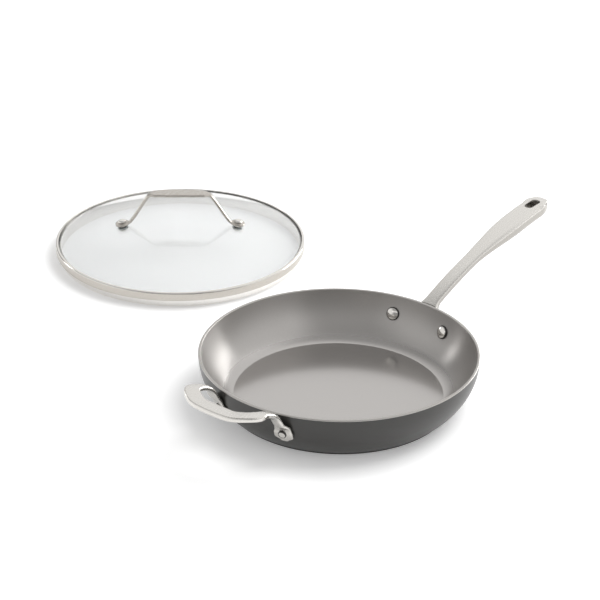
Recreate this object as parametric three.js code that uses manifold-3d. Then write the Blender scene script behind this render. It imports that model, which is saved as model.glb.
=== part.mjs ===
// Frying pan with a glass lid, taken apart into the pieces it is riveted from.
// Millimetres, +Z up. The origin is the centre of the pan's base, on the surface it stands on.
// +X runs out along the long handle. The lid lies on the same surface beside the pan.
import * as THREE from 'three';
import { mergeVertices } from 'three/addons/utils/BufferGeometryUtils.js';
import Module from 'manifold-3d';

const wasm = await Module();
wasm.setup();

// Pan body
const RIM_RADIUS = 152.5;
const PAN_HEIGHT = 56.6;
const RIM_WALL = 3.3;
const RIM_ROUND = 0.9;
const RIM_FLARE = 0.5;
const BASE_RADIUS = 124;
const BASE_EDGE_HEIGHT = 1.5;
const BASE_EDGE_ROUND = 0.8;
const FLOOR_RADIUS = 114.8;
const FLOOR_THICKNESS = 4.6;

// Fits
const SEAT_GAP = 0.3;
const SHANK_CLEARANCE = 0.3;

// Rivets that hold both handles to the wall
const RIVET_HEAD_DIAMETER = 13;
const RIVET_HEAD_HEIGHT = 2.8;
const RIVET_SHANK_DIAMETER = 6;
const RIVET_END_DIAMETER = 9;
const RIVET_END_HEIGHT = 0.8;
const RIVET_HOLE_REACH = 15;

// Long handle
const HANDLE_LENGTH = 235;
const HANDLE_RISE = 50;
const HANDLE_ROOT_HEIGHT = 46.5;
const HANDLE_NECK_WIDTH = 18;
const HANDLE_GRIP_WIDTH = 29;
const HANDLE_NECK_DEPTH = 7;
const HANDLE_GRIP_DEPTH = 9;
const HANDLE_NECK_CROWN = 1.4;
const HANDLE_GRIP_CROWN = 3.2;
const HANDLE_UNDERCUT = 1.6;
const HANDLE_END_LENGTH = 57;
const HANDLE_ROOT_WIDTH = 26;
const HANDLE_ROOT_DEPTH = 22;
const HANDLE_FLARE_LENGTH = 20;
const HANDLE_RIVET_ANGLE = 14.3;
const HANDLE_RIVET_HEIGHT = 34.2;
const FLANGE_THICKNESS = 3.6;
const FLANGE_HEIGHT = 25;
const FLANGE_EAR = 9.5;
const HANG_HOLE_LENGTH = 20;
const HANG_HOLE_WIDTH = 8.5;
const HANG_HOLE_FROM_TIP = 27;
const HANG_HOLE_CUT = 40;

// Helper handle
const HELPER_RIVET_ANGLE = 17;
const HELPER_RIVET_HEIGHT = 34.5;
const HELPER_FOOT_WIDTH = 21;
const HELPER_FOOT_THICKNESS = 3.6;
const HELPER_FOOT_LIFT = 0.3;
const HELPER_FOOT_BELOW_RIVET = 9;
const HELPER_FOOT_CORNER = 5;
const HELPER_FOOT_SHOULDER = 6;
const HELPER_STRAP_WIDTH = 14.5;
const HELPER_STRAP_THICKNESS = 4.8;
const HELPER_STRAP_OUT = 6.2;
const HELPER_STRAP_HEIGHT = 48;
const HELPER_ARM_WIDTH = 12;
const HELPER_ARM_THICKNESS = 5.6;
const HELPER_BEND_OUT = 14.5;
const HELPER_BEND_HEIGHT = 60.4;
const HELPER_ARM_OUT = 27;
const HELPER_ARM_HEIGHT = 68;
const HELPER_GRIP_WIDTH = 19.5;
const HELPER_GRIP_THICKNESS = 6;
const HELPER_GRIP_TILT = 9;
const HELPER_REACH = 59;
const HELPER_GRIP_HEIGHT = 70;
const HELPER_CORNER_INSET = 14.7;
const HELPER_CORNER_SIDE = 43;
const HELPER_CORNER_RISE = 1;
const HELPER_GRIP_END_INSET = 2;
const HELPER_GRIP_END_SIDE = 24;
const HELPER_GRIP_SIDE = 8;

// Lid
const LID_X = 155;
const LID_Y = 378.8;
const LID_TURN = -48.8;
const LID_OVERHANG = 1.5;
const LID_CLEARANCE = 1.2;
const LIP_DEPTH = 10;
const BAND_HEIGHT = 10;
const BAND_SHEET = 0.9;
const BAND_CURL = 3.4;
const BAND_CURL_RISE = 0.4;
const BAND_LOWER_BEND = 0.6;
const BAND_UPPER_BEND = 0.9;
const BAND_UPPER_BEND_DROP = 1.2;
const BAND_INNER_BEND_DROP = 1.6;
const GLASS_THICKNESS = 4;
const GLASS_DOME_RADIUS = 500;

// Lid handle and its fasteners
const LID_FOOT_SPACING = 141.4;
const LID_FOOT_DIAMETER = 17;
const LID_FOOT_THICKNESS = 3;
const LID_LEG_WIDTH = 7;
const LID_LEG_THICKNESS = 4;
const LID_GRIP_LENGTH = 80;
const LID_GRIP_WIDTH = 20;
const LID_GRIP_THICKNESS = 4;
const LID_GRIP_RISE = 42;
const LID_GRIP_ARCH = 0.6;
const LID_LEG_START = 1;
const LID_LEG_BEND_START = 7;
const LID_LEG_BEND_RISE = 0.8;
const LID_LEG_BEND_END = 12;
const LID_LEG_BEND_HEIGHT = 6;
const LID_SHOULDER_OUT = 3;
const LID_SHOULDER_DROP = 9;
const LID_SHOULDER_IN = 3;
const LID_SHOULDER_END_DROP = 1.5;
const LID_HEAD_ROOM = 2;
const STUD_DIAMETER = 5;
const STUD_HEAD_DIAMETER = 10;
const STUD_HEAD_HEIGHT = 3;
const STUD_END_DIAMETER = 8;
const STUD_END_HEIGHT = 1.2;
const GLASS_HOLE_DIAMETER = 7;
const GASKET_DIAMETER = 15;
const GASKET_THICKNESS = 1.5;
const LOWER_GASKET_DIAMETER = 13;
const LOWER_GASKET_THICKNESS = 1;
const WASHER_DIAMETER = 11;
const WASHER_THICKNESS = 0.8;

// Mesh fineness
const ROUND_SEGMENTS = 64;
const SMALL_SEGMENTS = 16;
const FOOT_SEGMENTS = 24;
const WALL_STEPS = 8;
const DOME_STEPS = 6;
const HANDLE_STEPS = 34;
const HELPER_STEPS = 57;
const LID_HANDLE_STEPS = 26;
const CUT_REACH = 30;

// Finishes
const material = (color, roughness, metalness, opacity = 1) => new THREE.MeshStandardMaterial({
  color, roughness, metalness, opacity, transparent: opacity < 1,
});
const anodised = () => material('#4b4a48', 0.5, 0.6);
const satinSteel = () => material('#cfccc8', 0.3, 1);
const polishedSteel = () => material('#dcdad6', 0.12, 1);
const temperedGlass = () => material('#e4eeec', 0.03, 0, 0.3);
const darkSilicone = () => material('#26272a', 0.7, 0);
const clearSilicone = () => material('#dfe5e4', 0.4, 0, 0.6);

// A geometry as a closed solid with its faces pointing out.
function solid(geometry) {
  const bare = geometry.clone();
  bare.deleteAttribute('normal');
  bare.deleteAttribute('uv');
  const merged = mergeVertices(bare, 1e-4);
  const position = merged.attributes.position;
  const index = merged.index.array;
  const corner = [new THREE.Vector3(), new THREE.Vector3(), new THREE.Vector3()];
  const kept = [];
  let volume = 0;
  for (let i = 0; i < index.length; i += 3) {
    const [a, b, c] = [index[i], index[i + 1], index[i + 2]];
    if (a === b || b === c || c === a) continue;
    corner.forEach((v, k) => v.fromBufferAttribute(position, index[i + k]));
    volume += corner[0].dot(corner[1].clone().cross(corner[2]));
    kept.push([a, b, c]);
  }
  const triangles = volume < 0 ? kept.map(([a, b, c]) => [a, c, b]) : kept;
  return new wasm.Manifold(new wasm.Mesh({
    numProp: 3,
    vertProperties: new Float32Array(position.array),
    triVerts: new Uint32Array(triangles.flat()),
  }));
}

// A solid back as a named mesh.
function piece(name, body, finish) {
  const { vertProperties, triVerts } = body.getMesh();
  const geometry = new THREE.BufferGeometry();
  geometry.setAttribute('position', new THREE.BufferAttribute(vertProperties, 3));
  geometry.setIndex(new THREE.BufferAttribute(triVerts, 1));
  geometry.computeVertexNormals();
  const mesh = new THREE.Mesh(geometry, finish);
  mesh.name = name;
  return mesh;
}

// A closed or axis-to-axis profile of [radius, height] points turned about Z.
function turned(profile, segments) {
  const points = profile.map(([r, z]) => new THREE.Vector2(r, z));
  return new THREE.LatheGeometry(points, segments).rotateX(Math.PI / 2);
}

// A solid cylinder about Z between two heights.
function rod(diameter, low, high, segments = SMALL_SEGMENTS) {
  const r = diameter / 2;
  return turned([[0, low], [r, low], [r, high], [0, high]], segments);
}

// A flat ring about Z between two heights.
function ring(outer, inner, low, high, segments = SMALL_SEGMENTS) {
  const [a, b] = [inner / 2, outer / 2];
  return turned([[a, low], [b, low], [b, high], [a, high], [a, low]], segments);
}

// A skin over equal-sized loops of points, with its two ends closed.
function loft(loops) {
  const count = loops[0].length;
  const points = loops.flat();
  const index = [];
  for (let i = 0; i + 1 < loops.length; i += 1) {
    for (let j = 0; j < count; j += 1) {
      const [a, b] = [i * count + j, i * count + (j + 1) % count];
      index.push(a, b, a + count, b, b + count, a + count);
    }
  }
  [0, loops.length - 1].forEach((end, side) => {
    const centre = points.length;
    const middle = new THREE.Vector3();
    loops[end].forEach((p) => middle.addScaledVector(p, 1 / count));
    points.push(middle);
    for (let j = 0; j < count; j += 1) {
      const [a, b] = [end * count + j, end * count + (j + 1) % count];
      index.push(centre, ...(side === 0 ? [b, a] : [a, b]));
    }
  });
  const geometry = new THREE.BufferGeometry().setFromPoints(points);
  geometry.setIndex(index);
  return geometry;
}

// A rounded bar section: [across, through] points of a squared ellipse.
function barSection(halfWidth, halfThickness, sides = 12, squareness = 3) {
  const power = (v) => Math.sign(v) * Math.abs(v) ** (2 / squareness);
  return Array.from({ length: sides }, (_, i) => {
    const angle = (i + 0.5) * 2 * Math.PI / sides;
    return [halfWidth * power(Math.cos(angle)), halfThickness * power(Math.sin(angle))];
  });
}

const smooth = (value, low, high) => THREE.MathUtils.smoothstep(value, low, high);
const radians = THREE.MathUtils.degToRad;

// A vector at a share of a list, easing from each to the next.
function eased(values, share) {
  const spot = (values.length - 1) * share;
  const i = Math.min(Math.floor(spot), values.length - 2);
  return values[i].clone().lerp(values[i + 1], smooth(spot - i, 0, 1));
}

// A bar along stations of { point, up, width, thickness }, flat side square to up.
function bar(stations, steps) {
  const path = new THREE.CatmullRomCurve3(stations.map((s) => s.point));
  const leans = stations.map((s) => s.up);
  const sizes = stations.map((s) => new THREE.Vector2(s.width / 2, s.thickness / 2));
  const loops = [];
  for (let i = 0; i <= steps; i += 1) {
    const t = i / steps;
    const centre = path.getPoint(t);
    const across = path.getTangent(t).cross(eased(leans, t)).normalize();
    const through = across.clone().cross(path.getTangent(t)).normalize();
    const { x: halfWidth, y: halfThickness } = eased(sizes, t);
    loops.push(barSection(halfWidth, halfThickness).map(([a, b]) => (
      centre.clone().addScaledVector(across, a).addScaledVector(through, b))));
  }
  return solid(loft(loops));
}

// The wall: a curve from the base edge, flaring out and turning upright at the rim.
const rimInside = RIM_RADIUS - RIM_WALL;
const outerWall = new THREE.CubicBezierCurve(
  new THREE.Vector2(BASE_RADIUS, BASE_EDGE_HEIGHT),
  new THREE.Vector2(BASE_RADIUS + 0.386 * (RIM_RADIUS - BASE_RADIUS), 0.177 * PAN_HEIGHT),
  new THREE.Vector2(RIM_RADIUS - RIM_FLARE, 0.477 * PAN_HEIGHT),
  new THREE.Vector2(RIM_RADIUS, PAN_HEIGHT),
);
const innerWall = new THREE.CubicBezierCurve(
  new THREE.Vector2(FLOOR_RADIUS, FLOOR_THICKNESS),
  new THREE.Vector2(FLOOR_RADIUS + 0.47 * (rimInside - FLOOR_RADIUS), 0.168 * PAN_HEIGHT),
  new THREE.Vector2(rimInside - RIM_FLARE, 0.495 * PAN_HEIGHT),
  new THREE.Vector2(rimInside, PAN_HEIGHT),
);

// Where a wall curve reaches a height, with its slope there.
function wallAt(curve, height) {
  let [low, high] = [0, 1];
  for (let i = 0; i < 40; i += 1) {
    const middle = (low + high) / 2;
    if (curve.getPoint(middle).y < height) low = middle;
    else high = middle;
  }
  const point = curve.getPoint(low);
  const tangent = curve.getTangent(low);
  return { radius: point.x, height: point.y, outward: new THREE.Vector2(tangent.y, -tangent.x) };
}

// The middle of a flat facet, as a share of the turned radius.
const facetMiddle = Math.cos(Math.PI / ROUND_SEGMENTS);

// A group at a spot on the outer wall, with its Z pointing straight out of the wall.
function wallFrame(angle, height) {
  const spot = wallAt(outerWall, height);
  const frame = new THREE.Group();
  frame.rotation.set(0, Math.PI / 2 - Math.atan2(spot.outward.y, spot.outward.x), radians(angle), 'ZYX');
  frame.position.set(
    spot.radius * facetMiddle * Math.cos(radians(angle)),
    spot.radius * facetMiddle * Math.sin(radians(angle)),
    spot.height,
  );
  frame.updateMatrix();
  return frame;
}

// How deep a flat disc sits inside the wall, square to the outer wall at a height, so that it just clears
// the inner wall: the deepest point of the inner wall's flats behind it, and the pan's roundness.
function discDepth(height, radius) {
  const out = wallAt(outerWall, height);
  const corners = innerWall.getPoints(WALL_STEPS);
  let deepest = 0;
  for (let i = 0; i < WALL_STEPS; i += 1) {
    for (let share = 0; share <= 1; share += 0.02) {
      const away = corners[i].clone().lerp(corners[i + 1], share);
      away.sub(new THREE.Vector2(out.radius, out.height));
      if (Math.abs(away.cross(out.outward)) > radius) continue;
      deepest = Math.max(deepest, -away.dot(out.outward));
    }
  }
  return deepest + radius ** 2 / (2 * out.radius);
}

// How far each handle's outer face stands off the wall.
const flangeFace = SEAT_GAP + FLANGE_THICKNESS;
const helperFootFace = SEAT_GAP + HELPER_FOOT_LIFT + HELPER_FOOT_THICKNESS;

// Every rivet: which handle, which side, and where it goes through the wall.
const rivets = [
  ['long_handle_rivet_left', HANDLE_RIVET_ANGLE, HANDLE_RIVET_HEIGHT, flangeFace],
  ['long_handle_rivet_right', -HANDLE_RIVET_ANGLE, HANDLE_RIVET_HEIGHT, flangeFace],
  ['helper_rivet_left', 180 - HELPER_RIVET_ANGLE, HELPER_RIVET_HEIGHT, helperFootFace],
  ['helper_rivet_right', 180 + HELPER_RIVET_ANGLE, HELPER_RIVET_HEIGHT, helperFootFace],
].map(([name, angle, height, face]) => ({ name, height, face, frame: wallFrame(angle, height) }));

// The holes that the rivets pass through, in the part's frame.
const rivetHoles = rivets.map(({ frame }) => (
  solid(rod(RIVET_SHANK_DIAMETER + 2 * SHANK_CLEARANCE, -RIVET_HOLE_REACH, RIVET_HOLE_REACH)
    .applyMatrix4(frame.matrix))));
const drilled = (body) => rivetHoles.reduce((cut, hole) => cut.subtract(hole), body);

// Pan body: base edge, flared wall, rounded rim and flat floor in one turned profile.
function panBody() {
  const rimTop = PAN_HEIGHT - RIM_ROUND;
  const walls = (curve) => curve.getPoints(WALL_STEPS).map((p) => [p.x, p.y]);
  const outer = walls(outerWall).slice(0, -1);
  const inner = walls(innerWall).slice(0, -1).reverse();
  const round = RIM_ROUND * (1 - Math.SQRT1_2);
  const profile = [
    [0, 0],
    [BASE_RADIUS - BASE_EDGE_ROUND, 0],
    [BASE_RADIUS - BASE_EDGE_ROUND * (1 - Math.SQRT1_2), BASE_EDGE_ROUND * (1 - Math.SQRT1_2)],
    [BASE_RADIUS, BASE_EDGE_ROUND],
    ...outer,
    [RIM_RADIUS, rimTop],
    [RIM_RADIUS - round, PAN_HEIGHT - round],
    [RIM_RADIUS - RIM_ROUND, PAN_HEIGHT],
    [rimInside + RIM_ROUND, PAN_HEIGHT],
    [rimInside + round, PAN_HEIGHT - round],
    [rimInside, rimTop],
    ...inner,
    [0, FLOOR_THICKNESS],
  ];
  return piece('pan_body', drilled(solid(turned(profile, ROUND_SEGMENTS))), anodised());
}

// Rivet: domed polished head inside the pan, shank, and a spread end flush outside the handle.
function rivet({ name, height, face, frame }) {
  const head = RIVET_HEAD_DIAMETER / 2;
  const inside = -discDepth(height, head) - SEAT_GAP;
  const outside = face + SEAT_GAP;
  const shank = RIVET_SHANK_DIAMETER / 2;
  const end = RIVET_END_DIAMETER / 2;
  const dome = [0, 22, 44, 66, 88].map((a) => (
    [head * Math.sin(radians(a)), inside - RIVET_HEAD_HEIGHT * Math.cos(radians(a))]));
  const profile = [
    ...dome,
    [head, inside],
    [shank, inside],
    [shank, outside],
    [end, outside],
    [end - 0.5 * RIVET_END_HEIGHT, outside + RIVET_END_HEIGHT],
    [0, outside + RIVET_END_HEIGHT],
  ];
  const mesh = piece(name, solid(turned(profile, SMALL_SEGMENTS)), polishedSteel());
  const placed = new THREE.Group();
  placed.position.copy(frame.position);
  placed.rotation.copy(frame.rotation);
  return placed.add(mesh);
}

// The outer wall's curve moved out by a distance, as [radius, height] points.
function wallOffset(distance) {
  return Array.from({ length: WALL_STEPS }, (_, i) => {
    const t = (i + 1) / WALL_STEPS;
    const point = outerWall.getPoint(t);
    const tangent = outerWall.getTangent(t);
    return [point.x + distance * tangent.y, point.y - distance * tangent.x];
  });
}

// The space that the pan fills, with the seat gap round it.
function panSpace() {
  const wall = wallOffset(SEAT_GAP);
  const [rimSide, rimTop] = wall[wall.length - 1];
  const lid = rimTop + SEAT_GAP;
  const profile = [[0, wall[0][1]], ...wall, [rimSide, lid], [0, lid]];
  return solid(turned(profile, ROUND_SEGMENTS));
}

// Plate that lies on the outer wall: a slice of the wall's own offset, cut to an outline in Y and Z.
function wallPlate(outline, thickness) {
  const near = wallOffset(SEAT_GAP);
  const far = wallOffset(SEAT_GAP + thickness);
  const loop = [...near, ...far.reverse(), near[0]];
  const shell = solid(turned(loop, ROUND_SEGMENTS));
  const prism = new THREE.ExtrudeGeometry(
    outline, { depth: 2 * RIM_RADIUS, bevelEnabled: false, curveSegments: 6 },
  );
  prism.applyMatrix4(new THREE.Matrix4().makeBasis(
    new THREE.Vector3(0, 1, 0), new THREE.Vector3(0, 0, 1), new THREE.Vector3(1, 0, 0),
  ));
  return shell.intersect(solid(prism));
}

// Long handle: wide flange on the wall, flared neck, crowned grip with a scooped underside, hang hole.
function longHandle() {
  const rootX = wallAt(outerWall, HANDLE_RIVET_HEIGHT).radius + SEAT_GAP + 0.5 * FLANGE_THICKNESS;
  const tipX = RIM_RADIUS + HANDLE_LENGTH;
  const tipHeight = PAN_HEIGHT + HANDLE_RISE;
  const span = tipX - rootX;
  const rise = tipHeight - HANDLE_ROOT_HEIGHT;
  const spine = new THREE.CubicBezierCurve(
    new THREE.Vector2(rootX, HANDLE_ROOT_HEIGHT),
    new THREE.Vector2(rootX + 0.275 * span, HANDLE_ROOT_HEIGHT + 0.56 * rise),
    new THREE.Vector2(rootX + 0.7 * span, HANDLE_ROOT_HEIGHT + 0.97 * rise),
    new THREE.Vector2(tipX, tipHeight),
  );
  const endStart = tipX - HANDLE_END_LENGTH;
  const sizeAt = (x) => {
    const flare = 1 - smooth(x, rootX, rootX + HANDLE_FLARE_LENGTH);
    const swell = smooth(x, rootX + 0.34 * span, rootX + 0.72 * span);
    const taper = Math.sqrt(Math.max(0, 1 - (Math.max(0, x - endStart) / HANDLE_END_LENGTH) ** 2));
    const mix = THREE.MathUtils.lerp;
    return {
      halfWidth: (mix(HANDLE_NECK_WIDTH, HANDLE_GRIP_WIDTH, swell) * taper
        + flare * (HANDLE_ROOT_WIDTH - HANDLE_NECK_WIDTH)) / 2,
      depth: mix(HANDLE_NECK_DEPTH, HANDLE_GRIP_DEPTH, swell) * (0.55 + 0.45 * taper)
        + flare * (HANDLE_ROOT_DEPTH - HANDLE_NECK_DEPTH),
      crown: mix(HANDLE_NECK_CROWN, HANDLE_GRIP_CROWN, swell) * taper,
    };
  };
  const loops = [];
  for (let i = 0; i <= HANDLE_STEPS; i += 1) {
    const t = 0.996 * Math.sin(0.5 * Math.PI * (i / HANDLE_STEPS)) ** 1.15;
    const point = spine.getPoint(t);
    const tangent = spine.getTangent(t);
    const up = new THREE.Vector3(-tangent.y, 0, tangent.x);
    const { halfWidth, depth, crown } = sizeAt(point.x);
    const edge = Math.min(0.3 * depth, 0.4 * halfWidth);
    const section = [
      [1, -edge], [0.93, -0.25 * edge], [0.8, crown * 0.36], [0.45, crown * 0.8], [0, crown],
      [-0.45, crown * 0.8], [-0.8, crown * 0.36], [-0.93, -0.25 * edge], [-1, -edge],
      [-1, -depth + edge], [-0.88, -depth], [-0.6, -depth + 0.4 * HANDLE_UNDERCUT],
      [-0.25, -depth + HANDLE_UNDERCUT], [0.25, -depth + HANDLE_UNDERCUT],
      [0.6, -depth + 0.4 * HANDLE_UNDERCUT], [0.88, -depth], [1, -depth + edge],
    ];
    loops.push(section.map(([across, lift]) => (
      new THREE.Vector3(point.x, across * halfWidth, point.y).addScaledVector(up, lift))));
  }
  const grip = solid(loft(loops));

  const reach = rootX * Math.sin(radians(HANDLE_RIVET_ANGLE));
  const middle = HANDLE_RIVET_HEIGHT;
  const outline = new THREE.Shape();
  outline.moveTo(-reach, middle - FLANGE_EAR);
  outline.lineTo(-0.3 * reach, middle - FLANGE_HEIGHT / 2);
  outline.lineTo(0.3 * reach, middle - FLANGE_HEIGHT / 2);
  outline.lineTo(reach, middle - FLANGE_EAR);
  outline.absarc(reach, middle, FLANGE_EAR, -Math.PI / 2, Math.PI / 2, false);
  outline.lineTo(0.3 * reach, middle + FLANGE_HEIGHT / 2);
  outline.lineTo(-0.3 * reach, middle + FLANGE_HEIGHT / 2);
  outline.lineTo(-reach, middle + FLANGE_EAR);
  outline.absarc(-reach, middle, FLANGE_EAR, Math.PI / 2, 1.5 * Math.PI, false);
  const flange = wallPlate(outline, FLANGE_THICKNESS);

  const holeX = tipX - HANG_HOLE_FROM_TIP;
  const half = (HANG_HOLE_LENGTH - HANG_HOLE_WIDTH) / 2;
  const slot = new THREE.Shape();
  slot.absarc(half, 0, HANG_HOLE_WIDTH / 2, -Math.PI / 2, Math.PI / 2, false);
  slot.absarc(-half, 0, HANG_HOLE_WIDTH / 2, Math.PI / 2, 1.5 * Math.PI, false);
  const hole = new THREE.ExtrudeGeometry(
    slot, { depth: 2 * HANG_HOLE_CUT, bevelEnabled: false, curveSegments: 8 },
  );
  hole.translate(holeX, 0, tipHeight - HANG_HOLE_CUT);
  const body = flange.add(grip.subtract(panSpace())).subtract(solid(hole));
  return piece('long_handle', drilled(body), satinSteel());
}

// Helper handle: two feet on the wall, arms that bend out above the rim, one broad tilted grip.
function helperHandle() {
  const reachX = RIM_RADIUS + HELPER_REACH - HELPER_GRIP_WIDTH / 2;
  const tilt = radians(HELPER_GRIP_TILT);
  const footStation = (height, width) => {
    const spot = wallAt(outerWall, height);
    const away = helperFootFace - HELPER_FOOT_THICKNESS / 2;
    return {
      radius: spot.radius * facetMiddle + away * spot.outward.x,
      height: spot.height + away * spot.outward.y,
      lean: [-spot.outward.x, -spot.outward.y],
      width,
      thickness: HELPER_FOOT_THICKNESS,
    };
  };
  const low = HELPER_RIVET_HEIGHT - HELPER_FOOT_BELOW_RIVET;
  const feet = [
    footStation(low, 0.42 * HELPER_FOOT_WIDTH),
    footStation(low + HELPER_FOOT_CORNER, HELPER_FOOT_WIDTH),
    footStation(HELPER_RIVET_HEIGHT, HELPER_FOOT_WIDTH),
    footStation(HELPER_RIVET_HEIGHT + HELPER_FOOT_SHOULDER, 0.88 * HELPER_FOOT_WIDTH),
  ];
  const turn = radians(HELPER_RIVET_ANGLE);
  const rimX = RIM_RADIUS * Math.cos(turn);
  const armY = feet[2].radius * Math.sin(turn);
  const strap = { width: HELPER_STRAP_WIDTH, thickness: HELPER_STRAP_THICKNESS };
  const arm = { width: HELPER_ARM_WIDTH, thickness: HELPER_ARM_THICKNESS };
  const run = [
    { x: rimX + HELPER_STRAP_OUT, y: armY, z: HELPER_STRAP_HEIGHT, lean: [0.95, 0.31], ...strap },
    { x: rimX + HELPER_BEND_OUT, y: armY, z: HELPER_BEND_HEIGHT, lean: [0.6, 0.75], ...arm },
    { x: rimX + HELPER_ARM_OUT, y: armY, z: HELPER_ARM_HEIGHT, lean: [0.3, 0.95], ...arm },
  ];
  const tilted = { lean: [Math.sin(tilt), Math.cos(tilt)], thickness: HELPER_GRIP_THICKNESS };
  const cornerX = reachX - HELPER_CORNER_INSET;
  const cornerZ = HELPER_GRIP_HEIGHT + HELPER_CORNER_RISE;
  const endX = reachX - HELPER_GRIP_END_INSET;
  const width = HELPER_GRIP_WIDTH;
  const grip = [
    { x: cornerX, y: HELPER_CORNER_SIDE, z: cornerZ, width: 0.87 * width, ...tilted },
    { x: endX, y: HELPER_GRIP_END_SIDE, z: HELPER_GRIP_HEIGHT, width: 0.95 * width, ...tilted },
    { x: reachX, y: HELPER_GRIP_SIDE, z: HELPER_GRIP_HEIGHT, width, ...tilted },
  ];
  const half = (side) => [
    ...feet.map(({ radius, height, lean, ...size }) => ({
      point: new THREE.Vector3(-radius * Math.cos(turn), side * radius * Math.sin(turn), height),
      up: new THREE.Vector3(-lean[0] * Math.cos(turn), side * lean[0] * Math.sin(turn), lean[1]),
      ...size,
    })),
    ...[...run, ...grip].map(({ x, y, z, lean, ...size }) => ({
      point: new THREE.Vector3(-x, side * y, z),
      up: new THREE.Vector3(lean[0], 0, lean[1]),
      ...size,
    })),
  ];
  const stations = [...half(-1), ...half(1).reverse()];
  const body = bar(stations, HELPER_STEPS).subtract(panSpace());
  return piece('helper_handle', drilled(body), satinSteel());
}

// Lid heights, from the surface that its lip stands on
const bandRadius = RIM_RADIUS + LID_OVERHANG;
const lipRadius = rimInside - LID_CLEARANCE;
const glassRadius = bandRadius - BAND_SHEET - SEAT_GAP;
const domeDrop = (r) => GLASS_DOME_RADIUS - Math.sqrt(GLASS_DOME_RADIUS ** 2 - r ** 2);
const curlInside = bandRadius - BAND_CURL;
const domeTop = LIP_DEPTH + BAND_HEIGHT - BAND_SHEET - SEAT_GAP + domeDrop(curlInside);
const footRadius = LID_FOOT_SPACING / 2;

// Glass: a shallow dome of even thickness, drilled for the two rivets.
function lidGlass() {
  const top = [];
  const under = [];
  for (let i = 0; i <= DOME_STEPS; i += 1) {
    const r = glassRadius * i / DOME_STEPS;
    top.push([r, domeTop - domeDrop(r)]);
    under.push([r, domeTop - domeDrop(r) - GLASS_THICKNESS]);
  }
  const dome = solid(turned([...under, ...top.reverse()], ROUND_SEGMENTS));
  const hole = (side) => (
    solid(rod(GLASS_HOLE_DIAMETER, -CUT_REACH, CUT_REACH).applyMatrix4(footFrame(side).matrix)));
  return piece('lid_glass', dome.subtract(hole(-1)).subtract(hole(1)), temperedGlass());
}

// Rim band: a folded steel sheet with a lip for the pan, a flange, an outer wall and a curl over the glass.
function lidRimBand() {
  const sheet = BAND_SHEET;
  const glassUnder = (r) => domeTop - domeDrop(r) - GLASS_THICKNESS - SEAT_GAP;
  const top = LIP_DEPTH + BAND_HEIGHT;
  const inside = lipRadius - sheet;
  const profile = [
    [inside, 0],
    [lipRadius, 0],
    [lipRadius, LIP_DEPTH],
    [bandRadius - BAND_LOWER_BEND, LIP_DEPTH],
    [bandRadius, LIP_DEPTH + BAND_LOWER_BEND],
    [bandRadius, top - BAND_UPPER_BEND_DROP],
    [bandRadius - BAND_UPPER_BEND, top],
    [curlInside, top + BAND_CURL_RISE],
    [curlInside, top + BAND_CURL_RISE - sheet],
    [bandRadius - sheet, top - BAND_INNER_BEND_DROP],
    [bandRadius - sheet, LIP_DEPTH + sheet],
    [lipRadius, LIP_DEPTH + sheet],
    [lipRadius, glassUnder(lipRadius)],
    [inside, glassUnder(lipRadius)],
    [inside, 0],
  ];
  return piece('lid_rim_band', solid(turned(profile, ROUND_SEGMENTS)), satinSteel());
}

// A frame on top of the glass at one foot of the lid's handle, square to the dome.
function footFrame(side) {
  const frame = new THREE.Group();
  frame.rotation.y = side * Math.asin(footRadius / GLASS_DOME_RADIUS);
  frame.position.set(side * footRadius, 0, domeTop - domeDrop(footRadius));
  frame.updateMatrix();
  return frame;
}

// Heights of the stack on each lid rivet, from the top of the glass.
const gasketLow = SEAT_GAP;
const footLow = gasketLow + GASKET_THICKNESS + SEAT_GAP;
const footHigh = footLow + LID_FOOT_THICKNESS;
const lowerGasketHigh = -GLASS_THICKNESS - SEAT_GAP;
const washerHigh = lowerGasketHigh - LOWER_GASKET_THICKNESS - SEAT_GAP;
const rivetEndHigh = washerHigh - WASHER_THICKNESS - SEAT_GAP;

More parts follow.
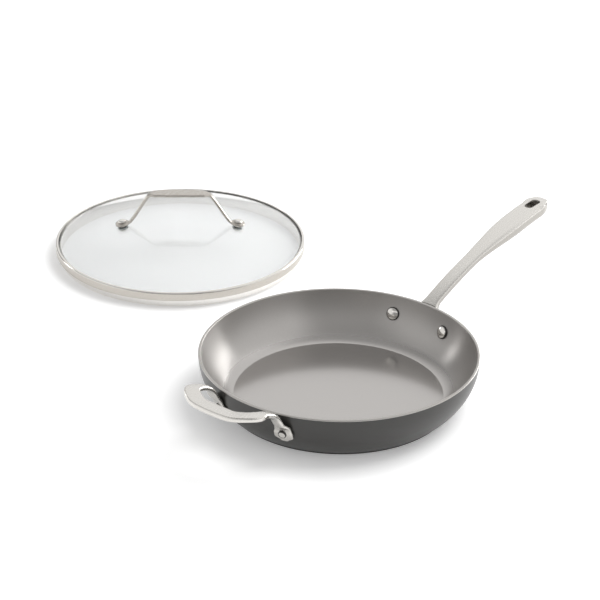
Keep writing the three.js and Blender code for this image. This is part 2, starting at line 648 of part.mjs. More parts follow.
// Lid handle: two round feet, slanted legs and a broad oval grip in one strap.
function lidHandle() {
  const up = new THREE.Vector3(0, 0, 1);
  const footTop = domeTop - domeDrop(footRadius) + footLow + LID_FOOT_THICKNESS / 2;
  const gripTop = domeTop + LID_GRIP_RISE - LID_GRIP_THICKNESS;
  const half = LID_GRIP_LENGTH / 2;
  const strapEnd = { width: LID_LEG_WIDTH, thickness: LID_FOOT_THICKNESS };
  const upright = { width: LID_LEG_WIDTH, thickness: LID_LEG_THICKNESS };
  const shoulder = { width: 1.3 * LID_LEG_WIDTH, thickness: LID_LEG_THICKNESS };
  const gripEnd = { width: 0.84 * LID_GRIP_WIDTH, thickness: LID_GRIP_THICKNESS };
  const grip = { width: LID_GRIP_WIDTH, thickness: LID_GRIP_THICKNESS };
  const leg = (side) => [
    { x: footRadius - LID_LEG_START, z: footTop, lean: [0, 1], ...strapEnd },
    { x: footRadius - LID_LEG_BEND_START, z: footTop + LID_LEG_BEND_RISE, lean: [0.15, 1], ...strapEnd },
    { x: footRadius - LID_LEG_BEND_END, z: footTop + LID_LEG_BEND_HEIGHT, lean: [0.8, 0.6], ...upright },
    { x: half + LID_SHOULDER_OUT, z: gripTop - LID_SHOULDER_DROP, lean: [0.85, 0.5], ...upright },
    { x: half - LID_SHOULDER_IN, z: gripTop - LID_SHOULDER_END_DROP, lean: [0.4, 0.9], ...shoulder },
    { x: 0.72 * half, z: gripTop, lean: [0.05, 1], ...gripEnd },
    { x: 0.3 * half, z: gripTop + LID_GRIP_ARCH, lean: [0, 1], ...grip },
  ].map(({ x, z, lean, width, thickness }) => ({
    point: new THREE.Vector3(side * x, 0, z),
    up: up.clone().multiplyScalar(lean[1]).setX(side * lean[0]),
    width,
    thickness,
  }));
  let body = bar([...leg(-1), ...leg(1).reverse()], LID_HANDLE_STEPS);
  [-1, 1].forEach((side) => {
    const { matrix } = footFrame(side);
    const cut = (diameter, low, high) => solid(rod(diameter, low, high).applyMatrix4(matrix));
    const foot = rod(LID_FOOT_DIAMETER, footLow, footHigh, FOOT_SEGMENTS);
    body = body.add(solid(foot.applyMatrix4(matrix)));
    const above = cut(STUD_HEAD_DIAMETER + LID_HEAD_ROOM, footHigh, footHigh + CUT_REACH);
    const under = cut(LID_FOOT_DIAMETER + LID_HEAD_ROOM, footLow - CUT_REACH, footLow);
    const hole = cut(STUD_DIAMETER + 2 * SHANK_CLEARANCE, -CUT_REACH, CUT_REACH);
    body = body.subtract(above).subtract(under).subtract(hole);
  });
  return piece('lid_handle', body, satinSteel());
}

// One foot's fasteners: rivet, the gaskets either side of the glass, and the washer under its spread end.
function footFasteners(side, label) {
  const head = STUD_HEAD_DIAMETER / 2;
  const shank = STUD_DIAMETER / 2;
  const end = STUD_END_DIAMETER / 2;
  const headLow = footHigh + SEAT_GAP;
  const headHigh = headLow + STUD_HEAD_HEIGHT;
  const bore = STUD_DIAMETER + 2 * SHANK_CLEARANCE;
  const profile = [
    [0, rivetEndHigh - STUD_END_HEIGHT],
    [0.8 * end, rivetEndHigh - STUD_END_HEIGHT],
    [end, rivetEndHigh],
    [shank, rivetEndHigh],
    [shank, headLow],
    [head, headLow],
    [head, headLow + 0.5 * STUD_HEAD_HEIGHT],
    [0.8 * head, headLow + 0.85 * STUD_HEAD_HEIGHT],
    [0.4 * head, headHigh],
    [0, headHigh],
  ];
  const lowerGasketLow = lowerGasketHigh - LOWER_GASKET_THICKNESS;
  const upper = ring(GASKET_DIAMETER, bore, gasketLow, gasketLow + GASKET_THICKNESS);
  const lower = ring(LOWER_GASKET_DIAMETER, bore, lowerGasketLow, lowerGasketHigh);
  const washer = ring(WASHER_DIAMETER, bore, washerHigh - WASHER_THICKNESS, washerHigh);
  const group = footFrame(side);
  group.add(
    piece(`lid_rivet_${label}`, solid(turned(profile, SMALL_SEGMENTS)), polishedSteel()),
    piece(`lid_upper_gasket_${label}`, solid(upper), darkSilicone()),
    piece(`lid_lower_gasket_${label}`, solid(lower), clearSilicone()),
    piece(`lid_washer_${label}`, solid(washer), satinSteel()),
  );
  return group;
}

const pan = new THREE.Group();
pan.add(panBody(), longHandle(), helperHandle(), ...rivets.map(rivet));

const lid = new THREE.Group();
lid.add(lidGlass(), lidRimBand(), lidHandle(), footFasteners(-1, 'left'), footFasteners(1, 'right'));
lid.position.set(LID_X, LID_Y, 0);
lid.rotation.z = radians(LID_TURN);

export default new THREE.Group().add(pan, lid);
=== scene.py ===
"""The looks of a frying pan with a glass lid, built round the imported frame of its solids."""

import math

import bmesh
import bpy
from bpy.props import FloatProperty, FloatVectorProperty, IntProperty, PointerProperty
from mathutils import Matrix, Vector


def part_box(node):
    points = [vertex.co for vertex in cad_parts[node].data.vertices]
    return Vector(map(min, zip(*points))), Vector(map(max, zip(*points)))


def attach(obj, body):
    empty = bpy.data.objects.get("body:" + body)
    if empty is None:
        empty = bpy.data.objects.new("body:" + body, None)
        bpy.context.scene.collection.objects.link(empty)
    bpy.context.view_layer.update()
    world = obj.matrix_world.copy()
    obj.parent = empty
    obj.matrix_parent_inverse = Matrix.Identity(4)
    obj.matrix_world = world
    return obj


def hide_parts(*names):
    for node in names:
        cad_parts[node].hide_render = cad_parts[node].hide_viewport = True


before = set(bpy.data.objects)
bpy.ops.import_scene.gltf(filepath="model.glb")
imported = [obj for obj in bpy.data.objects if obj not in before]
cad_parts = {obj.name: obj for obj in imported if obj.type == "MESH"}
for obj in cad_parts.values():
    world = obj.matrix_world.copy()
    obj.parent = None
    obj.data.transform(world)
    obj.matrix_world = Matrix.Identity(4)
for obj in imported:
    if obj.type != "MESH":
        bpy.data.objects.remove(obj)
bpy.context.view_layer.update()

bl_info = {
    "name": "Frying pan with lid",
    "version": (1, 0, 0),
    "blender": (4, 5, 0),
    "location": "View3D > Sidebar > Cookware",
    "description": "Builds the finished pieces of a frying pan and its glass lid round their solids",
    "category": "Object",
}

MM = 0.001

# Places read from the frame
PAN_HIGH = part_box("pan_body")[1]
HANDLE_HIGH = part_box("long_handle")[1]
HELPER_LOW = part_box("helper_handle")[0]
GLASS_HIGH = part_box("lid_glass")[1]


def middle(node):
    """The middle of a solid's box."""
    low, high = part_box(node)
    return (low + high) / 2


LID_CENTRE = Vector((middle("lid_rim_band").x, middle("lid_rim_band").y, 0))
LID_FEET = middle("lid_upper_gasket_right") - middle("lid_upper_gasket_left")
LID_TURN = math.atan2(LID_FEET.y, LID_FEET.x)
UPWARDS = Vector((0, 0, 1))

# Shares of a rivet's radii outside which its spread end and its head carry a dark line of painted shade,
# for the shadow in the gap round them
END_SHADE_LINE = 0.8
HEAD_SHADE_LINE = 0.88


def linear(hex_colour):
    """An sRGB hex colour as linear red, green and blue."""
    parts = [int(hex_colour[i:i + 2], 16) / 255 for i in (1, 3, 5)]
    return tuple(c / 12.92 if c <= 0.04045 else ((c + 0.055) / 1.055) ** 2.4 for c in parts)


def size(label, note, value):
    """A length that the panel shows."""
    return FloatProperty(name=label, description=note, default=value, min=0, precision=4, unit="LENGTH")


def tint(label, note, hex_colour):
    """A colour that the panel shows."""
    return FloatVectorProperty(
        name=label, description=note, default=linear(hex_colour), subtype="COLOR", size=3, min=0, max=1)


class PanSizes(bpy.types.PropertyGroup):
    """Sizes of the pan body and its rivets."""

    rim_radius: size("Rim radius", "Outside of the rim", PAN_HIGH.x)
    height: size("Height", "From the base to the rim", PAN_HIGH.z)
    rim_wall: size("Rim wall", "Thickness of the wall at the rim", 3.3 * MM)
    rim_round: size("Rim round", "Rounding of the rim's edges", 1.1 * MM)
    base_radius: size("Base radius", "Where the wall meets the base", 124 * MM)
    base_edge: size("Base edge", "Height of the upright edge round the base", 1.5 * MM)
    base_round: size("Base round", "Rounding under the base's edge", 0.8 * MM)
    floor_radius: size("Floor radius", "Flat part of the cooking floor", 114.8 * MM)
    floor_thickness: size("Floor thickness", "Metal under the cooking floor", 4.6 * MM)
    segments: IntProperty(name="Segments", description="Steps round the pan", default=256, min=32)
    rivet_head: size("Rivet head", "Diameter of a domed head", 15.4 * MM)
    rivet_dome: size("Rivet dome", "Height of a domed head", 3.2 * MM)
    rivet_end: size("Rivet end", "Diameter of the end outside a handle", 9 * MM)
    rivet_shank: size("Rivet shank", "Diameter of the shank", 6 * MM)


class LongHandleSizes(bpy.types.PropertyGroup):
    """Sizes of the cast long handle."""

    tip_height: size("Tip height", "Height of the tip above the surface", 106.6 * MM)
    root_height: size("Root height", "Height of the spine at the wall", 46.5 * MM)
    neck_width: size("Neck width", "Width behind the flange", 18 * MM)
    grip_width: size("Grip width", "Width of the grip", 29 * MM)
    neck_depth: size("Neck depth", "Depth of the neck", 7 * MM)
    grip_depth: size("Grip depth", "Depth of the grip", 12.5 * MM)
    neck_crown: size("Neck crown", "Rise of the neck's top", 1.4 * MM)
    grip_crown: size("Grip crown", "Rise of the grip's top", 3.2 * MM)
    undercut: size("Undercut", "Depth of the scoop in the underside", 1.6 * MM)
    end_length: size("End length", "Length over which the tip rounds off", 25 * MM)
    root_width: size("Root width", "Width where it meets the flange", 26 * MM)
    root_depth: size("Root depth", "Depth where it meets the flange", 22 * MM)
    flare_length: size("Flare length", "Length of the flare at the root", 20 * MM)
    rivet_height: size("Rivet height", "Height of its rivets", 34.2 * MM)
    flange_width: size("Flange width", "Width of the flange on the wall", 90 * MM)
    flange_height: size("Flange height", "Height of the flange on the wall", 25 * MM)
    flange_thickness: size("Flange thickness", "Thickness of the flange", 3.6 * MM)
    hole_length: size("Hang hole length", "Length of the hang hole", 23 * MM)
    hole_width: size("Hang hole width", "Width of the hang hole", 11 * MM)
    hole_from_tip: size("Hang hole from tip", "From the tip to the hole's middle", 25 * MM)


class HelperSizes(bpy.types.PropertyGroup):
    """Sizes of the cast helper handle."""

    rivet_angle: FloatProperty(
        name="Rivet angle", description="Half the angle between its feet", default=math.radians(17),
        subtype="ANGLE")
    rivet_height: size("Rivet height", "Height of its rivets", 34.5 * MM)
    foot_width: size("Foot width", "Width of a foot", 21 * MM)
    foot_thickness: size("Foot thickness", "Thickness of a foot", 3.6 * MM)
    foot_below: size("Foot below rivet", "From the rivet to the foot's lower end", 9 * MM)
    strap_width: size("Strap width", "Width between a foot and its bend", 14.5 * MM)
    strap_thickness: size("Strap thickness", "Thickness between a foot and its bend", 4.8 * MM)
    arm_width: size("Arm width", "Width of an arm", 12 * MM)
    arm_thickness: size("Arm thickness", "Thickness of an arm", 5.6 * MM)
    bend_height: size("Bend height", "Height where an arm turns out", 60.4 * MM)
    grip_width: size("Grip width", "Width of the grip", 19.5 * MM)
    grip_thickness: size("Grip thickness", "Thickness of the grip", 6 * MM)
    grip_height: size("Grip height", "Height of the grip's middle", 70 * MM)
    grip_tilt: FloatProperty(
        name="Grip tilt", description="Slope of the grip towards the pan", default=math.radians(9),
        subtype="ANGLE")


class LidSizes(bpy.types.PropertyGroup):
    """Sizes of the lid."""

    band_radius: size("Band radius", "Outside of the steel band", 154 * MM)
    lip_radius: size("Lip radius", "Outside of the lip that goes into the pan", 148 * MM)
    lip_depth: size("Lip depth", "Depth of the lip", 10 * MM)
    band_height: size("Band height", "Height of the band above the lip", 10 * MM)
    sheet: size("Sheet", "Thickness of the band's sheet", 0.9 * MM)
    curl: size("Curl", "Width of the curl over the glass", 3.4 * MM)
    glass_thickness: size("Glass thickness", "Thickness of the glass", 4 * MM)
    dome_radius: size("Dome radius", "Radius of the glass dome", 500 * MM)
    foot_diameter: size("Foot diameter", "Diameter of a handle foot", 17 * MM)
    foot_thickness: size("Foot thickness", "Thickness of a handle foot", 3 * MM)
    leg_width: size("Leg width", "Width of a leg", 7 * MM)
    leg_thickness: size("Leg thickness", "Thickness of a leg", 4 * MM)
    grip_length: size("Grip length", "Length of the grip", 80 * MM)
    grip_width: size("Grip width", "Width of the grip", 20 * MM)
    grip_thickness: size("Grip thickness", "Thickness of the grip", 4 * MM)
    grip_rise: size("Grip rise", "Height of the grip above the glass", 42 * MM)
    head_diameter: size("Rivet head", "Diameter of a lid rivet's head", 10 * MM)
    gasket_diameter: size("Gasket", "Diameter of an upper gasket", 11.4 * MM)


class Finishes(bpy.types.PropertyGroup):
    """Colours of the materials."""

    anodised: tint("Anodised outside", "Hard-anodised aluminium", "#363533")
    coating: tint("Coating inside", "Nonstick coating", "#b6b3b0")
    bare_rim: tint("Rim edge", "Bare turned aluminium", "#b3b0ac")
    satin: tint("Helper steel", "Satin stainless steel of the helper handle", "#d6d3ce")
    handle: tint("Handle steel", "Satin stainless steel of the long handle", "#d9d6d1")
    band: tint("Lid steel", "Satin stainless steel of the lid", "#bdb8b1")
    # Painted shade: the dark dull steel round the long handle's tip stands in for the dark line of shade
    # along its edge
    skin: tint("Casting skin", "Dull edge round the long handle's tip", "#5c5956")
    # Painted light: near-white steel on the lid's lip and the inside of its band stands in for the bright
    # floor they reflect, and on the washers for light where the glass shades them
    lip: tint("Lip steel", "Bright-rolled stainless steel", "#f0eeeb")
    # Painted shade: a darker copy of the long handle's satin steel for its sides, underside and hang hole
    cast: tint("Cast steel", "Stainless steel as cast, on the long handle's sides", "#a19e99")
    polished: tint("Polished steel", "Polished stainless steel", "#dfdcd7")
    glass: tint("Glass", "Tempered glass", "#fdfefe")
    gasket: tint("Gasket", "Black silicone", "#1b1b1d")
    clear_gasket: tint("Clear gasket", "Clear silicone under the glass", "#f2f5f4")
    floor: tint("Floor", "Studio floor", "#f7f7f7")


def add(tree, kind, inputs=None, **settings):
    """A new node with its settings, and each input given a value or linked to a socket."""
    node = tree.nodes.new(kind)
    for name, value in settings.items():
        setattr(node, name, value)
    for name, value in (inputs or {}).items():
        if isinstance(value, bpy.types.NodeSocket):
            tree.links.new(value, node.inputs[name])
        else:
            node.inputs[name].default_value = value
    return node


def new_material(name):
    """An empty material, its node tree, the place it reads on a piece, and where its shader goes."""
    material = bpy.data.materials.new(name)
    material.use_nodes = True
    tree = material.node_tree
    tree.nodes.clear()
    surface = add(tree, "ShaderNodeOutputMaterial").inputs["Surface"]
    return material, tree, add(tree, "ShaderNodeTexCoord").outputs["Object"], surface


def per_metre(width):
    """Noise scale for a pattern whose blobs are about this wide."""
    return 1 / width


def round_the_pan(tree, place):
    """The direction of the marks that spinning leaves: round the pan's axis at every spot."""
    around = add(tree, "ShaderNodeVectorMath", {0: (0, 0, 1), 1: place}, operation="CROSS_PRODUCT")
    return add(tree, "ShaderNodeVectorMath", {0: around.outputs[0]}, operation="NORMALIZE").outputs[0]


def hard_anodised_aluminium():
    """Dark oxide grown on blasted aluminium: a soft grey sheen with a fine even grain."""
    grain_width = 0.9 * MM  # coarser than the real grain, so that it shows
    cloud_width = 60 * MM
    material, tree, place, surface = new_material("hard_anodised_aluminium")
    colour = bpy.context.scene.finishes.anodised
    grain = add(tree, "ShaderNodeTexNoise", {
        "Vector": place, "Scale": per_metre(grain_width), "Detail": 2.0,
    })
    cloud = add(tree, "ShaderNodeTexNoise", {
        "Vector": place, "Scale": per_metre(cloud_width), "Detail": 3.0,
    })
    rough = add(tree, "ShaderNodeMapRange", {"Value": cloud.outputs["Fac"], "To Min": 0.3, "To Max": 0.36})
    shade = add(tree, "ShaderNodeMix", {
        "Factor": grain.outputs["Fac"],
        6: (*[0.9 * c for c in colour], 1),
        7: (*[1.1 * c for c in colour], 1),
    }, data_type="RGBA")
    bump = add(tree, "ShaderNodeBump", {
        "Height": grain.outputs["Fac"], "Strength": 0.05, "Distance": 0.2 * MM,
    })
    shader = add(tree, "ShaderNodeBsdfPrincipled", {
        "Base Color": shade.outputs[2], "Roughness": rough.outputs["Result"],
        "Normal": bump.outputs["Normal"], "Anisotropic": 0.7, "Anisotropic Rotation": 0.25,
        "Tangent": round_the_pan(tree, place),
    })
    tree.links.new(shader.outputs["BSDF"], surface)
    return material


def nonstick_coating():
    """Sprayed and baked coating with mineral flakes: a semi-gloss warm grey, glossier on the floor."""
    flake_width = 0.7 * MM  # coarser than the real flakes, so that they show
    pebble_width = 2.2 * MM
    floor_height = bpy.context.scene.pan_sizes.floor_thickness
    wall_height = 14 * MM
    floor_roughness, wall_roughness = 0.17, 0.34
    wall_streak = 0.9
    material, tree, place, surface = new_material("nonstick_coating")
    colour = bpy.context.scene.finishes.coating
    flake = add(tree, "ShaderNodeTexVoronoi", {"Vector": place, "Scale": per_metre(flake_width)})
    pebble = add(tree, "ShaderNodeTexNoise", {
        "Vector": place, "Scale": per_metre(pebble_width), "Detail": 2.0,
    })
    shade = add(tree, "ShaderNodeMix", {
        "Factor": flake.outputs["Distance"],
        6: (*[1.06 * c for c in colour], 1),
        7: (*[0.94 * c for c in colour], 1),
    }, data_type="RGBA")
    bump = add(tree, "ShaderNodeBump", {
        "Height": pebble.outputs["Fac"], "Strength": 0.04, "Distance": 0.2 * MM,
    })
    height = add(tree, "ShaderNodeSeparateXYZ", {0: place}).outputs["Z"]
    climb = add(tree, "ShaderNodeMapRange", {
        "Value": height, "From Min": floor_height, "From Max": wall_height,
    }, interpolation_type="SMOOTHSTEP").outputs["Result"]
    rough = add(tree, "ShaderNodeMapRange", {
        "Value": climb, "To Min": floor_roughness, "To Max": wall_roughness,
    })
    streak = add(tree, "ShaderNodeMapRange", {"Value": climb, "To Min": 0.0, "To Max": wall_streak})
    shader = add(tree, "ShaderNodeBsdfPrincipled", {
        "Base Color": shade.outputs[2], "Metallic": 0.85, "Roughness": rough.outputs["Result"],
        "Normal": bump.outputs["Normal"], "Anisotropic": streak.outputs["Result"],
        "Anisotropic Rotation": 0.25, "Tangent": round_the_pan(tree, place),
    })
    tree.links.new(shader.outputs["BSDF"], surface)
    return material


def turned_aluminium():
    """Bare edge cut on a lathe: bright metal with a faint ring."""
    ring_spacing = 2.513 * MM
    rings_per_unit = 20 / math.tau  # how many rings the wave node draws at a scale of 1
    material, tree, place, surface = new_material("turned_aluminium")
    rings = add(tree, "ShaderNodeTexWave", {
        "Vector": place, "Scale": per_metre(rings_per_unit * ring_spacing), "Distortion": 0.5,
    }, wave_type="RINGS", rings_direction="Z")
    rough = add(tree, "ShaderNodeMapRange", {"Value": rings.outputs["Fac"], "To Min": 0.22, "To Max": 0.34})
    shader = add(tree, "ShaderNodeBsdfPrincipled", {
        "Base Color": (*bpy.context.scene.finishes.bare_rim, 1), "Metallic": 1.0,
        "Roughness": rough.outputs["Result"],
    })
    tree.links.new(shader.outputs["BSDF"], surface)
    return material


def satin_stainless(name, along, colour):
    """Stainless steel rubbed one way with fine belts: a soft sheen with faint lines along the rub."""
    line_width = 0.5 * MM  # coarser than the real lines, so that they show
    line_length = 40 * MM
    material, tree, place, surface = new_material(name)
    squeeze = add(tree, "ShaderNodeMapping", {
        "Vector": place, "Rotation": (0, 0, -along),
        "Scale": (1 / line_length, 1 / line_width, 1 / line_width),
    }, vector_type="POINT")
    lines = add(tree, "ShaderNodeTexNoise", {
        "Vector": squeeze.outputs["Vector"], "Scale": 1.0, "Detail": 2.0,
    })
    rough = add(tree, "ShaderNodeMapRange", {"Value": lines.outputs["Fac"], "To Min": 0.25, "To Max": 0.29})
    bump = add(tree, "ShaderNodeBump", {
        "Height": lines.outputs["Fac"], "Strength": 0.001, "Distance": 0.05 * MM,
    })
    shader = add(tree, "ShaderNodeBsdfPrincipled", {
        "Base Color": (*colour, 1), "Metallic": 1.0,
        "Roughness": rough.outputs["Result"], "Normal": bump.outputs["Normal"],
    })
    tree.links.new(shader.outputs["BSDF"], surface)
    return material


def casting_skin():
    """Painted shade: dark, dull stainless steel on the edge round the long handle's tip, standing in for
    the dark line of shade along it.
    """
    speck_width = 0.5 * MM
    material, tree, place, surface = new_material("casting_skin")
    speck = add(tree, "ShaderNodeTexNoise", {"Vector": place, "Scale": per_metre(speck_width)})
    rough = add(tree, "ShaderNodeMapRange", {"Value": speck.outputs["Fac"], "To Min": 0.5, "To Max": 0.7})
    shader = add(tree, "ShaderNodeBsdfPrincipled", {
        "Base Color": (*bpy.context.scene.finishes.skin, 1), "Roughness": rough.outputs["Result"],
    })
    tree.links.new(shader.outputs["BSDF"], surface)
    return material


def polished_stainless():
    """Tumbled and buffed stainless steel: a near mirror with a few faint smears."""
    smear_width = 3 * MM
    material, tree, place, surface = new_material("polished_stainless")
    smear = add(tree, "ShaderNodeTexNoise", {
        "Vector": place, "Scale": per_metre(smear_width), "Detail": 2.0,
    })
    rough = add(tree, "ShaderNodeMapRange", {"Value": smear.outputs["Fac"], "To Min": 0.04, "To Max": 0.08})
    shader = add(tree, "ShaderNodeBsdfPrincipled", {
        "Base Color": (*bpy.context.scene.finishes.polished, 1), "Metallic": 1.0,
        "Roughness": rough.outputs["Result"],
    })
    tree.links.new(shader.outputs["BSDF"], surface)
    return material


def tempered_glass():
    """Pressed soda-lime glass: clear, with a slight ripple from the press."""
    ripple_width = 45 * MM
    material, tree, place, surface = new_material("tempered_glass")
    ripple = add(tree, "ShaderNodeTexNoise", {
        "Vector": place, "Scale": per_metre(ripple_width), "Detail": 0.0,
    })
    bump = add(tree, "ShaderNodeBump", {
        "Height": ripple.outputs["Fac"], "Strength": 0.02, "Distance": 1 * MM,
    })
    shader = add(tree, "ShaderNodeBsdfPrincipled", {
        "Base Color": (*bpy.context.scene.finishes.glass, 1), "Roughness": 0.0, "IOR": 1.52,
        "Transmission Weight": 1.0, "Normal": bump.outputs["Normal"],
    })
    tree.links.new(shader.outputs["BSDF"], surface)
    return material


def silicone(name, colour, clear):
    """Moulded silicone: soft and dull, with a very fine skin texture."""
    skin_width = 0.6 * MM
    material, tree, place, surface = new_material(name)
    skin = add(tree, "ShaderNodeTexNoise", {"Vector": place, "Scale": per_metre(skin_width)})
    bump = add(tree, "ShaderNodeBump", {
        "Height": skin.outputs["Fac"], "Strength": 0.1, "Distance": 0.1 * MM,
    })
    shader = add(tree, "ShaderNodeBsdfPrincipled", {
        "Base Color": (*colour, 1), "Roughness": 0.45, "IOR": 1.41, "Transmission Weight": clear,
        "Normal": bump.outputs["Normal"],
    })
    tree.links.new(shader.outputs["BSDF"], surface)
    return material


def once(make, *arguments):
    """A material that is made the first time a piece asks for it."""
    name = arguments[0] if arguments else make.__name__
    return bpy.data.materials.get(name) or make(*arguments)


def link_mesh(name, mesh):
    """A new object at the origin."""
    piece = bpy.data.objects.new(name, mesh)
    bpy.context.scene.collection.objects.link(piece)
    return piece


def smooth(piece, crease=35):
    """Merges doubles, turns the faces out, and shades smooth up to a crease angle in degrees."""
    mesh = piece.data
    work = bmesh.new()
    work.from_mesh(mesh)
    bmesh.ops.remove_doubles(work, verts=work.verts, dist=0.002 * MM)
    bmesh.ops.recalc_face_normals(work, faces=work.faces)
    work.to_mesh(mesh)
    work.free()
    mesh.polygons.foreach_set("use_smooth", [True] * len(mesh.polygons))
    mesh.set_sharp_from_angle(angle=math.radians(crease))
    return piece


def as_plain_mesh(piece):
    """The piece with its modifiers' result as its mesh, and no modifier left."""
    graph = bpy.context.evaluated_depsgraph_get()
    mesh = bpy.data.meshes.new_from_object(piece.evaluated_get(graph), depsgraph=graph)
    piece.modifiers.clear()
    old = piece.data
    piece.data = mesh
    bpy.data.meshes.remove(old)
    mesh.name = piece.name
    return piece


def wear(piece, material):
    """Gives every face of a piece one material."""
    piece.data.materials.clear()
    piece.data.materials.append(material)
    piece.data.polygons.foreach_set("material_index", [0] * len(piece.data.polygons))
    return piece


def combine(piece, other, operation):
    """Joins or cuts a piece with another of the same material, which is used up."""
    material = piece.data.materials[0]
    modifier = piece.modifiers.new("combine", "BOOLEAN")
    modifier.operation = operation
    modifier.solver = "EXACT"
    modifier.object = other
    as_plain_mesh(piece)
    bpy.data.objects.remove(other)
    return wear(piece, material)


def turned_tree():
    """Geometry nodes that turn a profile about Z and set a copy at each place, facing its way."""
    tree = bpy.data.node_groups.new("turned_pieces", "GeometryNodeTree")
    for name, way, kind in (
        ("Profile", "INPUT", "Geometry"), ("Places", "INPUT", "Object"), ("Segments", "INPUT", "Int"),
        ("Material", "INPUT", "Material"), ("Pieces", "OUTPUT", "Geometry"),
    ):
        tree.interface.new_socket(name, in_out=way, socket_type="NodeSocket" + kind)
    given = add(tree, "NodeGroupInput").outputs
    count = add(tree, "GeometryNodeAttributeDomainSize", {"Geometry": given["Profile"]})
    rows = count.outputs["Point Count"]
    columns = add(tree, "ShaderNodeMath", {0: given["Segments"], 1: 1.0}, operation="ADD").outputs[0]
    grid = add(tree, "GeometryNodeMeshGrid", {"Vertices X": columns, "Vertices Y": rows})
    index = add(tree, "GeometryNodeInputIndex").outputs[0]
    row = add(tree, "ShaderNodeMath", {0: index, 1: rows}, operation="MODULO").outputs[0]
    share = add(tree, "ShaderNodeMath", {0: index, 1: rows}, operation="DIVIDE").outputs[0]
    column = add(tree, "ShaderNodeMath", {0: share}, operation="FLOOR").outputs[0]
    turns = add(tree, "ShaderNodeMath", {0: column, 1: given["Segments"]}, operation="DIVIDE").outputs[0]
    angle = add(tree, "ShaderNodeMath", {0: turns, 1: math.tau}, operation="MULTIPLY").outputs[0]
    spot = add(tree, "GeometryNodeInputPosition").outputs[0]
    point = add(tree, "GeometryNodeSampleIndex", {
        "Geometry": given["Profile"], "Value": spot, "Index": row,
    }, data_type="FLOAT_VECTOR").outputs["Value"]
    parts = add(tree, "ShaderNodeSeparateXYZ", {0: point}).outputs
    cosine = add(tree, "ShaderNodeMath", {0: angle}, operation="COSINE").outputs[0]
    sine = add(tree, "ShaderNodeMath", {0: angle}, operation="SINE").outputs[0]
    x = add(tree, "ShaderNodeMath", {0: parts["X"], 1: cosine}, operation="MULTIPLY").outputs[0]
    y = add(tree, "ShaderNodeMath", {0: parts["X"], 1: sine}, operation="MULTIPLY").outputs[0]
    place = add(tree, "ShaderNodeCombineXYZ", {"X": x, "Y": y, "Z": parts["Z"]}).outputs[0]
    turned = add(tree, "GeometryNodeSetPosition", {"Geometry": grid.outputs["Mesh"], "Position": place})
    closed = add(tree, "GeometryNodeMergeByDistance", {
        "Geometry": turned.outputs[0], "Distance": 0.001 * MM,
    })
    spots = add(tree, "GeometryNodeObjectInfo", {"Object": given["Places"]}).outputs["Geometry"]
    facing = add(tree, "GeometryNodeInputNamedAttribute", {"Name": "facing"}, data_type="FLOAT_VECTOR")
    turn = add(tree, "FunctionNodeAlignRotationToVector", {"Vector": facing.outputs["Attribute"]}, axis="Z")
    copies = add(tree, "GeometryNodeInstanceOnPoints", {
        "Points": spots, "Instance": closed.outputs[0], "Rotation": turn.outputs[0],
    })
    whole = add(tree, "GeometryNodeRealizeInstances", {"Geometry": copies.outputs[0]})
    finished = add(tree, "GeometryNodeSetMaterial", {
        "Geometry": whole.outputs[0], "Material": given["Material"],
    })
    add(tree, "NodeGroupOutput", {"Pieces": finished.outputs[0]})
    return tree


def turned(name, profile, material, segments, places=None):
    """A profile of (radius, height) points turned about Z at each place, a pair of point and facing."""
    tree = bpy.data.node_groups.get("turned_pieces") or turned_tree()
    places = places or [(Vector(), UPWARDS)]
    marks = bpy.data.meshes.new("marks")
    marks.from_pydata([p for p, _ in places], [], [])
    facing = marks.attributes.new("facing", "FLOAT_VECTOR", "POINT")
    for item, (_, direction) in zip(facing.data, places):
        item.vector = direction
    marker = link_mesh("marks", marks)
    line = bpy.data.meshes.new(name)
    line.from_pydata([(r, 0, z) for r, z in profile], [(i, i + 1) for i in range(len(profile) - 1)], [])
    piece = link_mesh(name, line)
    modifier = piece.modifiers.new("turned", "NODES")
    modifier.node_group = tree
    inputs = {"Places": marker, "Segments": segments, "Material": material}
    for item in tree.interface.items_tree:
        if item.in_out == "INPUT" and item.name in inputs:
            modifier[item.identifier] = inputs[item.name]
    as_plain_mesh(piece)
    bpy.data.objects.remove(marker)
    return smooth(wear(piece, material))


def filleted(corners, steps=5):
    """A profile through (radius, height, fillet) corners, with each corner rounded by its fillet."""
    points = []
    for i, (r, z, fillet) in enumerate(corners):
        corner = Vector((r, z))
        if fillet == 0 or i in (0, len(corners) - 1):
            points.append((r, z))
            continue
        start = corner + (Vector(corners[i - 1][:2]) - corner).normalized() * fillet
        end = corner + (Vector(corners[i + 1][:2]) - corner).normalized() * fillet
        for k in range(steps + 1):
            t = k / steps
            point = start.lerp(corner, t).lerp(corner.lerp(end, t), t)
            points.append((point.x, point.y))
    return points


def bezier(a, b, c, d, t):
    """A point on a cubic curve."""
    s = 1 - t
    return a * s ** 3 + b * (3 * s * s * t) + c * (3 * s * t * t) + d * t ** 3


def wall_curve(foot, rim, t, lean, low, high):
    """A point on a wall's profile, which leans out from its foot and stands up at its rim.

    The curve's first handle is at a share lean of the flare and low of the height, its second at high.
    """
    pull_in = 0.5 * MM
    first = Vector((mix(foot.x, rim.x, lean), low * rim.y))
    second = Vector((rim.x - pull_in, high * rim.y))
    return bezier(foot, first, second, rim, t)


def outer_wall(t):
    """Radius and height along the outside of the wall, from the base edge at 0 to the rim at 1."""
    pan = bpy.context.scene.pan_sizes
    foot = Vector((pan.base_radius, pan.base_edge))
    rim = Vector((pan.rim_radius, pan.height))
    return wall_curve(foot, rim, t, lean=0.386, low=0.177, high=0.477)


def inner_wall(t):
    """Radius and height along the inside of the wall, from the floor's edge at 0 to the rim at 1."""
    pan = bpy.context.scene.pan_sizes
    foot = Vector((pan.floor_radius, pan.floor_thickness))
    rim = Vector((pan.rim_radius - pan.rim_wall, pan.height))
    return wall_curve(foot, rim, t, lean=0.47, low=0.168, high=0.495)


